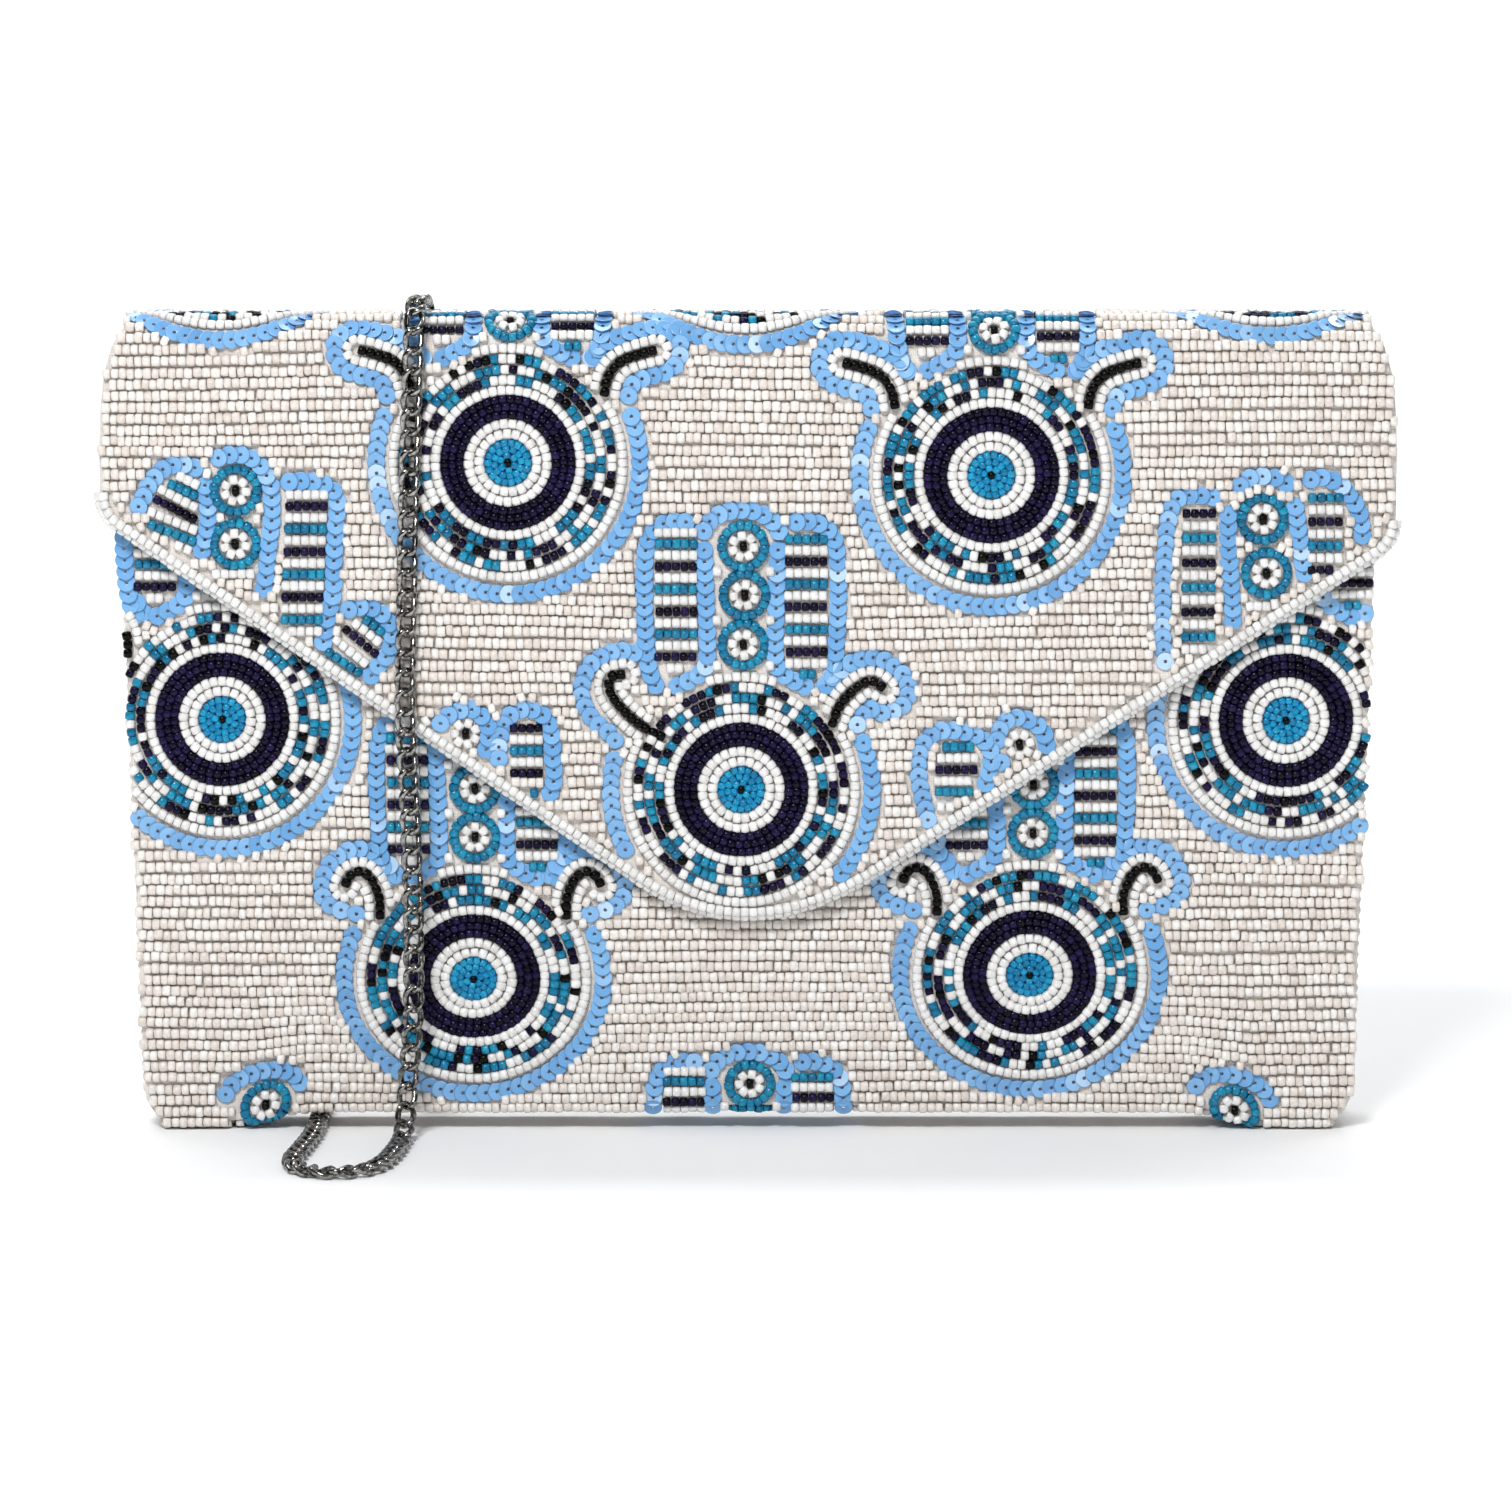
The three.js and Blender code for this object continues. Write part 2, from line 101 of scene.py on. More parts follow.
STRAP_RIGHT = [
    (-61.2, 41.9, TABLE_Z), (-52, 48.6, TABLE_Z), (-41, 54.6, TABLE_Z), (-28.5, 55, TABLE_Z),
    (-17, 48, TABLE_Z), (-6.5, 38.4, TABLE_Z), (6, 33.6, TABLE_Z), (19, 36.6, TABLE_Z),
    (30, 45.6, TABLE_Z), (42, 53.4, TABLE_Z), (56, 53.4, TABLE_Z), (68, 45.4, TABLE_Z),
    (79, 37, TABLE_Z), (91, 34.8, TABLE_Z), (102, 39.4, TABLE_Z), (111, 45.4, TABLE_Z),
    (120.5, 46, TABLE_Z), (127, 41, TABLE_Z), (129.4, 34.4, TABLE_Z + 0.2), (129.8, 29.4, 3.6),
    (130, 26.5, 8), (130, 25.5, 14),
] + [(-x, depth, z) for x, depth, z in LEFT_DROP[::-1]]


def y_at(depth):
    return depth - DEPTH / 2


def unit(v):
    return v / np.maximum(np.linalg.norm(v, axis=-1, keepdims=True), 1e-9)


def spline(points, per=12):
    """Catmull-Rom through the points, as one finely stepped path."""
    p = np.array(points, float)
    p = np.vstack([2 * p[0] - p[1], p, 2 * p[-1] - p[-2]])
    t = np.linspace(0, 1, per, endpoint=False)[:, None]
    parts = []
    for a, b, c, d in zip(p[:-3], p[1:-2], p[2:-1], p[3:]):
        parts.append(0.5 * (2 * b + (c - a) * t + (2 * a - 5 * b + 4 * c - d) * t**2
                            + (3 * b - 3 * c + d - a) * t**3))
    return np.vstack(parts + [p[-2:-1]])


def along(path):
    return np.concatenate([[0], np.cumsum(np.linalg.norm(np.diff(path, axis=0), axis=1))])


def resample(path, s):
    at = along(path)
    return np.stack([np.interp(s, at, path[:, k]) for k in range(path.shape[1])], 1)


def to_rows(route):
    return np.array([(x, y_at(t), z) for x, t, z in route], float)


def place_object(name, data):
    """A new object with this data, in the scene."""
    obj = bpy.data.objects.new(name, data)
    bpy.context.scene.collection.objects.link(obj)
    return obj


def new_mesh(name, verts, corners, sizes):
    """A smooth mesh, from vertices in metres, the corners of all its faces and how many each face has."""
    mesh = bpy.data.meshes.new(name)
    mesh.vertices.add(len(verts))
    mesh.vertices.foreach_set("co", np.asarray(verts, np.float32).ravel())
    mesh.loops.add(len(corners))
    mesh.loops.foreach_set("vertex_index", corners.astype(np.int32))
    mesh.polygons.add(len(sizes))
    mesh.polygons.foreach_set("loop_start", np.concatenate([[0], np.cumsum(sizes)[:-1]]).astype(np.int32))
    mesh.polygons.foreach_set("loop_total", sizes.astype(np.int32))
    mesh.polygons.foreach_set("use_smooth", np.ones(len(sizes), bool))
    mesh.update(calc_edges=True)
    return mesh


def mesh_object(name, verts, faces):
    """An object from vertices in metres and faces, which are an array or a list of tuples."""
    corners, sizes = np.concatenate([np.asarray(f) for f in faces]), np.array([len(f) for f in faces])
    mesh = new_mesh(name, verts, corners, sizes)
    mesh.validate()
    return place_object(name, mesh)


def grid_faces(n, m, closed_n=False, closed_m=False):
    """Quads of n rows of m vertices. A closed direction runs on from its last vertex to its first."""
    i, j = np.meshgrid(np.arange(n - 1 + closed_n), np.arange(m - 1 + closed_m), indexing="ij")
    row, next_row, next_j = i * m, (i + 1) % n * m, (j + 1) % m
    return np.stack([row + j, row + next_j, next_row + next_j, next_row + j], -1).reshape(-1, 4)


# ---- outlines, in millimetres; depth runs from the flap's outer face at 0 to the back at DEPTH
ARCH_RISE = 3.4
TIP_LEFT, TIP_RIGHT, TIP_PULL = (-24, 55.6), (28.3, 57.5), (0, 38.9)
FLAP_HALF_WIDTH = 139.7
FLAP_CORNER_R = 5.0
BEAD_R = 1.1
SNAP_Z = 66.0
SNAP_WELL_R = 9.6
FLAP_FACE, FRONT_FACE, BACK_FACE = BEAD_R, 5 + BEAD_R, 24 - BEAD_R
FRONT_TOP = 150.0
ROUND = 7.5
FLAP_TOP = 176.5
SLOPES_TOP = 160.0
FOLD_HALF_WIDTH, FOLD_SPREAD = 134.2, 1.8
BASE_HALF_WIDTH = 129.5
BODY_HALF_WIDTH, BODY_SPREAD, BODY_CORNER_R = 133.0, 3.0, 10.0
OVER_START = 30.0
# Where the outer skin ends at the foot of the back, and the under skin below the base
BACK_FOOT_Z, BACK_TURN_R, UNDER_BACK, UNDER_TURN_R = 2.2, 1.1, 21.2, 1.15
UNDER_FACE_Z = 0.4


def smooth(x, a, b):
    t = np.clip((x - a) / (b - a), 0, 1)
    return t * t * (3 - 2 * t)


def arch(x):
    return ARCH_RISE * smooth(-np.abs(x), -112, -94)


def quad_curve(a, b, c, n):
    t = np.linspace(0, 1, n)[:, None]
    a, b, c = (np.array(p, float) for p in (a, b, c))
    return (1 - t) ** 2 * a + 2 * t * (1 - t) * b + t * t * c


def flap_edge():
    """The flap's outline from the top of its left side round the tip to the top of its right side."""
    def side(sign, corner_z, tip):
        corner = np.array([sign * FLAP_HALF_WIDTH, corner_z])
        to_tip = unit(np.array(tip) - corner)
        bend = quad_curve(corner + (0, FLAP_CORNER_R), corner, corner + FLAP_CORNER_R * to_tip, 7)
        return np.vstack([[(sign * FOLD_HALF_WIDTH, FLAP_TOP), (sign * 136.8, 171), (sign * 138.6, 165),
                           (sign * 139.5, 156), (sign * FLAP_HALF_WIDTH, 148)], bend])
    return np.vstack([side(-1, 135, TIP_LEFT), quad_curve(TIP_LEFT, TIP_PULL, TIP_RIGHT, 15),
                      side(1, 129, TIP_RIGHT)[::-1]])


FLAP_EDGE = flap_edge()


def distance_to(points, line):
    """Distance of each point to a polyline, in the plane."""
    a, b = line[:-1], line[1:]
    d = b - a
    t = np.sum((points[:, None] - a) * d, 2) / np.maximum(np.sum(d * d, 1), 1e-9)
    near = a + np.clip(t, 0, 1)[..., None] * d
    return np.min(np.linalg.norm(points[:, None] - near, axis=2), 1)


def inside(points, loop):
    x, y = points[:, :1], points[:, 1:2]
    a, b = loop, np.roll(loop, -1, 0)
    rise = np.where(b[:, 1] == a[:, 1], 1e-9, b[:, 1] - a[:, 1])
    crosses = ((a[:, 1] > y) != (b[:, 1] > y)) & (
        x < (b[:, 0] - a[:, 0]) * (y - a[:, 1]) / rise + a[:, 0])
    return np.sum(crosses, 1) % 2 == 1


def body_half_width(z):
    """Half the width of the bag's body at a height: rounded at the foot, spreading upwards."""
    z, r = np.asarray(z, float), BODY_CORNER_R
    wide = BODY_HALF_WIDTH + BODY_SPREAD * np.clip((z - r) / 115, 0, 1)
    low = np.clip(r - z, 0, r)
    return np.where(z < r, wide - (r - np.sqrt(np.maximum(r * r - low**2, 0))), wide)


# ---- skins: where a point of the unrolled beadwork lies on the bag
def profile(points):
    """A line of (depth, height) points, and how far along it each lies."""
    p = np.array(points, float)
    return p, along(p)


def bend_points(ct, cz, r, a0, a1, n=12):
    a = np.radians(np.linspace(a0, a1, n))
    return [(ct + r * math.cos(x), cz + r * math.sin(x)) for x in a]


R_IN = ROUND - BEAD_R
# flap, over the fold and down the back, as depth and height
OVER, OVER_S = profile([(FLAP_FACE, OVER_START)] + bend_points(ROUND, HEIGHT - ROUND, R_IN, 180, 90)
                       + bend_points(DEPTH - ROUND, HEIGHT - ROUND, R_IN, 90, 0)
                       + [(BACK_FACE, BACK_FOOT_Z)]
                       + bend_points(BACK_FACE - BACK_TURN_R, BACK_FOOT_Z, BACK_TURN_R, 0, -90, 5)[1:])
OVER_S += OVER_START
# base, then up the front
UNDER, UNDER_S = profile([(UNDER_BACK, BEAD_R), (FRONT_FACE + UNDER_TURN_R, BEAD_R)]
                         + bend_points(FRONT_FACE + UNDER_TURN_R, BEAD_R + UNDER_TURN_R, UNDER_TURN_R,
                                       270, 180, 5)[1:]
                         + [(FRONT_FACE, FRONT_TOP + 2)])
UNDER_S += FRONT_TOP + 2 - UNDER_S[-1]
# v where the fold begins on the flap, at its crest, where it ends on the back, and at the base
V_FOLD_IN = 165.0
V_TOP = float(np.interp(12, OVER[12:26, 0], OVER_S[12:26]))
V_BACK = 2 * V_TOP - V_FOLD_IN
V_BASE = float(OVER_S[-1])


def lay(skin, u, v, lift):
    """Points, outward normals and the direction of growing v for unrolled u, v on a skin."""
    pts, s = (OVER, OVER_S) if skin == "over" else (UNDER, UNDER_S)
    u, v = np.asarray(u, float), np.asarray(v, float)
    t, z = np.interp(v, s, pts[:, 0]), np.interp(v, s, pts[:, 1])
    ahead, behind = v + 0.6, v - 0.6
    dt = np.interp(ahead, s, pts[:, 0]) - np.interp(behind, s, pts[:, 0])
    dz = np.interp(ahead, s, pts[:, 1]) - np.interp(behind, s, pts[:, 1])
    size = np.maximum(np.hypot(dt, dz), 1e-6)
    dt, dz = dt / size, dz / size
    low = z < 40
    z = z + np.where(low, arch(u) * (1 - smooth(z, 0, 40)), 0) * ((skin == "under") | (v > V_BACK))
    normal = np.stack([np.zeros_like(dt), -dz, dt], -1)
    up = np.stack([np.zeros_like(dt), dt, dz], -1)
    place = np.stack([u, y_at(t), z], -1) + normal * np.asarray(lift)[..., None]
    return place, normal, up


# ---- the plan of beads and sequins in the unrolled plane
rng = np.random.default_rng(7)
WHITE, TEAL, NAVY, BLACK, CREAM, CYAN = range(6)
# Length along the thread and radius across it
LENGTH = {WHITE: 1.85, TEAL: 1.78, NAVY: 1.72, BLACK: 1.8, CREAM: 1.82, CYAN: 1.5}
RADIUS = {WHITE: 1.16, TEAL: 1.12, NAVY: 1.03, BLACK: 1.08, CREAM: 1.21, CYAN: 0.95}
ROW, ROW_REACH, RUN_OF_BEADS, FILLER_STEP = 2.45, 141, (9, 26), 0.55
SEQUIN_R, SEQUIN_PITCH, SEQUIN_LIFT = 2.0, 2.5, -0.15
DEGREES_PER_STEP = 3.0
# How near two centres may lie: motif beads, sequins, and a ground bead or a filler to its neighbours
BEADS_APART, SEQUINS_APART = 1.25, 1.9
GROUND_FROM_BEAD, GROUND_FROM_SEQUIN, FILLER_FROM_SEQUIN = 1.8, 2.35, 2.5


def resampled(points, pitch):
    """Places at an even pitch along a line, about one pitch apart, and the line's direction at each."""
    p = np.array(points, float)
    at = along(p)
    n = max(int(round(at[-1] / pitch)), 1)
    s = (np.arange(n) + 0.5) * at[-1] / n
    d = unit(resample(p, np.minimum(s + 0.4, at[-1])) - resample(p, np.maximum(s - 0.4, 0)))
    return resample(p, s), d


def curve2(points, per=10):
    return spline([(x, y, 0) for x, y in points], per)[:, :2]


def ring(r, a0, a1):
    """An arc from one angle to another, in degrees."""
    a = np.radians(np.linspace(a0, a1, max(int(abs(a1 - a0) / DEGREES_PER_STEP), 8)))
    return np.stack([r * np.cos(a), r * np.sin(a)], 1)


def around(stroke, d):
    """The line at distance d round a stroke, from its root, round its tip and back."""
    p = curve2(stroke, 8)
    t = unit(np.gradient(p, axis=0))
    n = np.stack([t[:, 1], -t[:, 0]], 1)
    a = math.atan2(n[-1, 1], n[-1, 0])
    cap = np.array([(math.cos(a + x), math.sin(a + x)) for x in np.linspace(0.15, math.pi - 0.15, 9)])
    line = np.vstack([p + d * n, p[-1] + d * cap, (p - d * n)[::-1]])
    return line[distance_to(line, p) > 0.95 * d]


class Plan:
    """Beads (u, v, direction, colour, a length of their own if any) and sequins (u, v, direction)."""
    def __init__(self):
        self.beads, self.sequins, self.solid = [], [], []

    def is_solid(self, u, v):
        """Whether the place lies in a finger, which holds no ground beads."""
        return any(a < u < b and c < v < d for a, b, c, d in self.solid)

    def string(self, points, colour, pitch, place=(0, 0), colours=None):
        q, d = resampled(points, pitch or LENGTH[colour])
        for i, (u, v) in enumerate(q + place):
            self.beads.append((u, v, d[i, 0], d[i, 1], colours[i % len(colours)] if colours else colour))

    def scales(self, points, place=(0, 0)):
        q, d = resampled(points, SEQUIN_PITCH)
        for (u, v), (du, dv) in zip(q + place, d):
            nearest = min(((u - s[0]) ** 2 + (v - s[1]) ** 2 for s in self.sequins[-60:]), default=math.inf)
            if nearest >= SEQUINS_APART**2:
                self.sequins.append((u, v, du, dv))


def mosaic(n):
    """Short runs of white, teal, navy and black."""
    out = []
    while len(out) < n:
        c = int(rng.choice([WHITE, TEAL, NAVY, BLACK], p=[0.37, 0.32, 0.21, 0.10]))
        if out and out[-1] == c:
            continue
        out += [c] * int(rng.choice([1, 2, 3], p=[0.45, 0.35, 0.2]) if c != BLACK else 1)
    return out[:n]


# Thumb strokes from root to tip, from the middle of the eye; the curled one has a seam of its own.
THUMB_HOOKED = [(19.4, 13.6), (21.1, 17.9), (23.4, 20.8), (26.3, 23.1), (28.6, 23.5), (31, 21.8)]
THUMB_CURLED = [(-16.5, 11.2), (-21.7, 14), (-26, 17.9), (-28.4, 21.6), (-28, 24.4), (-25, 25.2)]
SEAM_CURLED = [(-26.6, 9.6), (-28.3, 12.2), (-32, 15.3), (-34.3, 19.7), (-34.2, 23.6), (-32.4, 27.3),
               (-28.6, 29.6), (-24.6, 30.2), (-22, 29.2)]
THUMB_SHORT = [(20.3, 13.4), (20.4, 18), (22, 22), (24.4, 23.9), (26.8, 22.9), (28, 20.6)]
THUMB_WIDE = [(20.6, 14.2), (21.6, 18.4), (24.2, 21.6), (28.2, 23.2), (32, 24.2)]
# Radii of the eye's rings, from its middle outwards
CYAN_RINGS, WHITE_RINGS, NAVY_RINGS, BORDER_RING = (1.55, 2.9, 4.25), (6.2, 8.4), (10.35, 12.0, 13.65), 15.55
MOSAIC_RINGS, OUTER_RING, SEQUIN_RING = (17.75, 20.0, 22.3), 24.6, 28.3
# A striped finger's two sequin seams, as distance from the middle finger and height, and its stripes
INNER_SEAM = [(8, 53.2), (7.6, 42), (7.3, 30), (8, 26.2), (11, 23.9), (14.9, 22)]
OUTER_SEAM = [(10.6, 57.9), (15.6, 58), (19.4, 55.4), (20.7, 50), (20.8, 38), (20, 27), (18, 21.6)]
LEFT_STRIPES, RIGHT_STRIPES = [WHITE, TEAL, WHITE, NAVY], [TEAL, WHITE, NAVY, WHITE]
STRIPES, STRIPE_PITCH = 13, 2.44
# The middle finger: the arc of sequins at its tip, its rosettes and the white beads in the gaps between them
TIP_ARC_R, TIP_ARC_RISE, TIP_ARC_V = 8.3, 0.7, 54.8
ROSETTES_V, GAPS_V, GAPS_U = (52.7, 42.2, 31.5), (47.4, 36.8, 27), (-5.2, 6.2)


def turn(r):
    start = rng.uniform(0, 360)
    return ring(r, start, start + 360)


def angle_of(point):
    return math.degrees(math.atan2(point[1], point[0]))


def rosette(plan, x, y, ringed=True):
    plan.beads.append((x, y, 1.0, 0.0, BLACK, 1.5))
    plan.string(turn(2.3), WHITE, 2.06, (x, y))
    if ringed:
        plan.string(turn(4.6), TEAL, 1.75, (x, y))


def pupil(plan, place):
    plan.beads.append((*place, 1.0, 0.0, BLACK, 1.2))
    for rings, colour, pitch in ((CYAN_RINGS, CYAN, 1.52), (WHITE_RINGS, WHITE, None),
                                 (NAVY_RINGS, NAVY, 1.72), ((BORDER_RING,), WHITE, None)):
        for r in rings:
            plan.string(turn(r), colour, pitch, place)


def thumb(plan, place, stroke, seam):
    """A black stroke with a white row and a sequin seam round it. Returns where the seam starts."""
    plan.string(curve2(stroke, 8), BLACK, 1.85, place)
    near = around(stroke, 2.3)
    plan.string(near[np.linalg.norm(near, axis=1) > OUTER_RING - 0.4], WHITE, 1.85, place)
    if seam:
        outer = curve2(seam, 8)
    else:
        outer = around(stroke, 5.15)
        outer = outer[np.linalg.norm(outer, axis=1) > SEQUIN_RING - 0.9]
        outer = outer[::-1] if outer[0][1] > outer[-1][1] else outer
    plan.scales(outer, place)
    return outer[0]


def striped_finger(plan, place, side):
    cx, cy = place
    for seam in (INNER_SEAM, OUTER_SEAM):
        plan.scales(curve2([(side * x, y) for x, y in seam]), place)
    left_edge = cx + min(side * 7.5, side * 20)
    plan.solid.append((left_edge, left_edge + 12.5, cy + 22, cy + 57.5))
    top, colours = (55.7, LEFT_STRIPES) if side < 0 else (54.3, RIGHT_STRIPES)
    for k in range(STRIPES):
        n, x = (2, 14.2) if k == STRIPES - 1 else (5, 14)
        mid = side * x + rng.normal(0, 0.12)
        y = top - STRIPE_PITCH * k
        plan.string([(mid - 0.925 * n, y), (mid + 0.925 * n, y)], colours[k % 4], 1.84, place)


def hamsa(plan, place, left, right, left_seam=None, side_fingers=(-1, 1)):
    """An eye in a palm, with two thumbs, a middle finger of rosettes and striped fingers beside it."""
    cx, cy = place
    pupil(plan, place)
    feet = [angle_of(thumb(plan, place, left, left_seam)), angle_of(thumb(plan, place, right, None))]
    for r in MOSAIC_RINGS:
        plan.string(turn(r), WHITE, 1.85, place, mosaic(90))
    stems = sorted(angle_of(stroke[-1]) for stroke in (left, right))
    plan.string(ring(OUTER_RING, stems[1] + 5, stems[0] - 5 + 360), WHITE, None, place)
    plan.string(ring(OUTER_RING, 72, 108), WHITE, None, place)
    plan.scales(ring(SEQUIN_RING, min(feet) - 4, max(feet) - 360 + 4), place)
    plan.scales(ring(TIP_ARC_R, 180, 0) * (1, TIP_ARC_RISE) + (0, TIP_ARC_V), place)
    plan.solid.append((cx - 6.6, cx + 7.4, cy + 25.8, cy + 60))
    for side in side_fingers:
        striped_finger(plan, place, side)
    for y in ROSETTES_V:
        rosette(plan, cx + 0.5 + rng.normal(0, 0.1), cy + y)
    plan.beads += [(cx + x, cy + y, 1.0, 0.0, WHITE) for y in GAPS_V for x in GAPS_U]


def column(x0, x1, top, pitch, colours, drift=0.0):
    """Strings of one striped finger, from the top down."""
    return [(x0 + drift * k, top - pitch * k, x1 + drift * k, top - pitch * k, c)
            for k, c in enumerate(colours)]


W, T, N = WHITE, TEAL, NAVY
# The hands that the flap's slopes cut off: sequin seams, strings (x, y, x, y, colour), rosettes and whether
# these have a teal ring. On the left slope the first finger leans over, and the thumb is striped.
CUT_HANDS = [
    ([[(-131.5, 135.9), (-129.9, 138.8), (-128.9, 141.2), (-127.1, 143.5), (-125, 145.4), (-122.6, 146.1),
       (-120, 145.9), (-117.6, 144.8)],
      [(-114.8, 147), (-111.9, 148), (-109.2, 148.2), (-106.9, 147.6), (-105, 146.2), (-103.5, 144),
       (-102.4, 141.3), (-102.3, 134.6), (-102.9, 129.6), (-103.6, 123.1), (-104.4, 118.1)],
      [(-116.8, 142.7), (-116.1, 139), (-116, 134.1), (-116.6, 130.4), (-117.7, 126.5)],
      [(-99.8, 142.2), (-95.9, 142.5), (-92.6, 142.2), (-89.8, 141.2), (-88.2, 138.5), (-88.6, 132.2),
       (-89.1, 124.6), (-89.3, 118.4), (-90.6, 113.1), (-91.7, 106.6)],
      [(-87.2, 114.4), (-84.1, 115.3), (-81.4, 115.3), (-78.8, 113.9), (-77.1, 111.6), (-76.7, 108.6),
       (-77.8, 105), (-79.9, 102.4), (-81.9, 99.5)]],
     [(-122.6, 143.8, -117.8, 141.4, W), (-124.4, 142.1, -118.2, 139, T), (-126.6, 141, -118.2, 136.6, W),
      (-127.6, 138.8, -118.4, 134, N), (-128.9, 136.2, -118.3, 131.7, W), (-128.9, 133.3, -118.6, 129.3, T),
      (-123.4, 129, -119.4, 127.3, W), (-115.3, 122.5, -106.1, 122.5, W), (-82.8, 113.1, -78.4, 109.6, T),
      (-85.1, 112.3, -79.1, 107.4, W), (-87.2, 111, -79.7, 104.7, N), (-89.3, 108.7, -82, 102.8, W),
      (-91, 106, -83.3, 100.7, T)]
     + column(-99.3, -90.1, 139.5, 2.45, [W, N, W, T, W, N, W, T, W, N, W, T, W], -0.13),
     [(-110, 140.4), (-110.2, 128.9)], True),
    ([[(90.6, 99.8), (89.3, 108), (89.2, 117), (89.7, 128.1), (90.2, 134), (91.4, 137.8), (93.8, 139.3),
       (97.5, 139.4), (101, 138.8)],
      [(103.1, 136.5), (103.2, 130), (103.6, 123.5), (104.2, 116), (104.4, 111.2)],
      [(104.7, 140.4), (106.9, 142.8), (110.6, 143.5), (114.3, 142.8), (116.4, 141)],
      [(117.3, 138.2), (118, 133.7), (118.6, 128.7), (119.9, 121.4)],
      [(119.6, 142.4), (123, 143.3), (126.7, 142), (129.3, 139.3), (131.2, 135.6), (132, 131),
       (131.6, 127.2)]],
     column(93.2, 100.6, 135.5, 2.66, [N, W, T, W, N, W, T, W, N, W, T, W])
     + [(93.4, 103.4, 95.6, 103.4, N), (107, 115.5, 116, 115.5, W)]
     + column(120.2, 127.8, 138.9, 2.6, [T, W, N, W, T, W, N]),
     [(110.6, 134.3), (111.5, 122.6)], True),
    ([[(-67.2, 89.1), (-65, 91.7), (-62.4, 92.9), (-59.8, 93.2), (-57.2, 91.4), (-55.9, 88.4), (-56.8, 83.2)],
      [(-53.4, 78.7), (-53.9, 84), (-53.1, 88.8), (-51.4, 91.9), (-48.2, 93.3), (-45.1, 92.5), (-43, 90.2),
       (-42.3, 86.5), (-42.2, 82.1), (-41.9, 78.3), (-43.2, 73.9)]],
     column(-51.5, -44.3, 89.1, 2.46, [N, W, T, W, N]) + [(-49.4, 74.9, -45.2, 74.9, T)],
     [(-61, 87.9)], False),
    ([[(39.1, 67.9), (38.6, 70.8), (37.5, 74.9), (36.8, 79.3), (37, 83.5), (38.3, 86.4), (40.4, 88.1),
       (43, 88.7), (46.3, 88.3), (49.6, 87.4), (51.9, 85.3), (52.6, 82.6), (52.2, 80.2), (51, 75.9)],
      [(56, 78.2), (54.6, 82), (53.8, 85.8), (54.2, 88.6), (56, 90.9), (58.8, 91.4), (61.4, 90.4),
       (63.4, 88.8), (64.3, 86.4), (64.6, 84.2)]],
     [(41.9, 85, 48.7, 85, T), (40.7, 82.6, 49.8, 82.6, W), (40.4, 80, 49.6, 80, N),
      (40.1, 77.6, 48.2, 77.6, W), (40.4, 75.2, 48.6, 75.2, T), (40.6, 72, 44.6, 72, W)],
     [(58.6, 85.5)], False)]


def cut_hand(plan, seams, strings, rosettes, ringed):
    for points in seams:
        plan.scales(curve2(points))
    for x0, y0, x1, y1, colour in strings:
        plan.string([(x0, y0), (x1, y1)], colour, 1.8)
    for x, y in rosettes:
        rosette(plan, x, y, ringed)


def alike(stroke):
    """The left and the right thumb of a hand with two thumbs alike."""
    return [(-x, y) for x, y in stroke], stroke


def motifs():
    over, under = Plan(), Plan()
    hamsa(over, (-1.5, 75.7), THUMB_CURLED, THUMB_HOOKED, SEAM_CURLED)
    hamsa(over, (-51.5, 146.4), *alike(THUMB_WIDE))
    hamsa(over, (52.2, 143.7), *alike(THUMB_WIDE))
    for hand in CUT_HANDS:
        cut_hand(over, *hand)
    for x, y in ((-113, 201), (-0.6, 200), (112, 202), (-56, 258), (56, 258),
                 (-112, 314), (0, 314), (112, 314), (-56, 371), (56, 371)):
        hamsa(over, (x, y), *alike(THUMB_WIDE))
    for x, y in ((-114, 90.4), (116.6, 90.2), (-59.9, 33.1), (61.4, 34)):
        hamsa(under, (x, y), *alike(THUMB_SHORT))
    for x, y, fingers in ((-106.2, -48.2, ()), (0, -45.6, (-1, 1)), (106, -49.2, ())):
        hamsa(under, (x, y), *alike(THUMB_SHORT), side_fingers=fingers)
    under.string(turn(SNAP_WELL_R + 1.2), WHITE, None, (0, SNAP_Z))
    return over, under


def flap_limits(v, inset=0.0):
    low = int(np.argmin(FLAP_EDGE[:, 1]))
    left, right = FLAP_EDGE[:low + 1][::-1], FLAP_EDGE[low:]
    return np.interp(v, left[:, 1], left[:, 0]) + inset, np.interp(v, right[:, 1], right[:, 0]) - inset


def fold_half_width(v):
    z_back = np.interp(v, OVER_S, OVER[:, 1])
    rising = FOLD_HALF_WIDTH + FOLD_SPREAD * smooth(v, V_TOP, V_BACK)
    return np.where(v < V_TOP, FOLD_HALF_WIDTH, np.where(v < V_BACK, rising, body_half_width(z_back)))


def over_margin(p):
    """How far inside the flap, fold and back each unrolled point lies."""
    u, v = p[:, 0], p[:, 1]
    flap = np.where(inside(p, FLAP_EDGE), distance_to(p, FLAP_EDGE), -1)
    left, right = flap_limits(v)
    flap = np.where(v > SLOPES_TOP, np.minimum(u - left, right - u), flap)
    rest = np.minimum(fold_half_width(v) - np.abs(u), V_BASE - v)
    return np.where(v < FLAP_TOP, flap, rest)


def under_margin(p):
    u, v = p[:, 0], p[:, 1]
    half = np.where(v < UNDER_FACE_Z, BASE_HALF_WIDTH, body_half_width(v))
    panel = np.minimum(np.minimum(half - np.abs(u), FRONT_TOP - v), v - UNDER_S[0])
    return np.minimum(panel, np.hypot(u, v - SNAP_Z) - SNAP_WELL_R)


def near_tree(points):
    tree = kdtree.KDTree(max(len(points), 1))
    for i, p in enumerate(points):
        tree.insert((p[0], p[1], 0), i)
    tree.balance()
    return tree


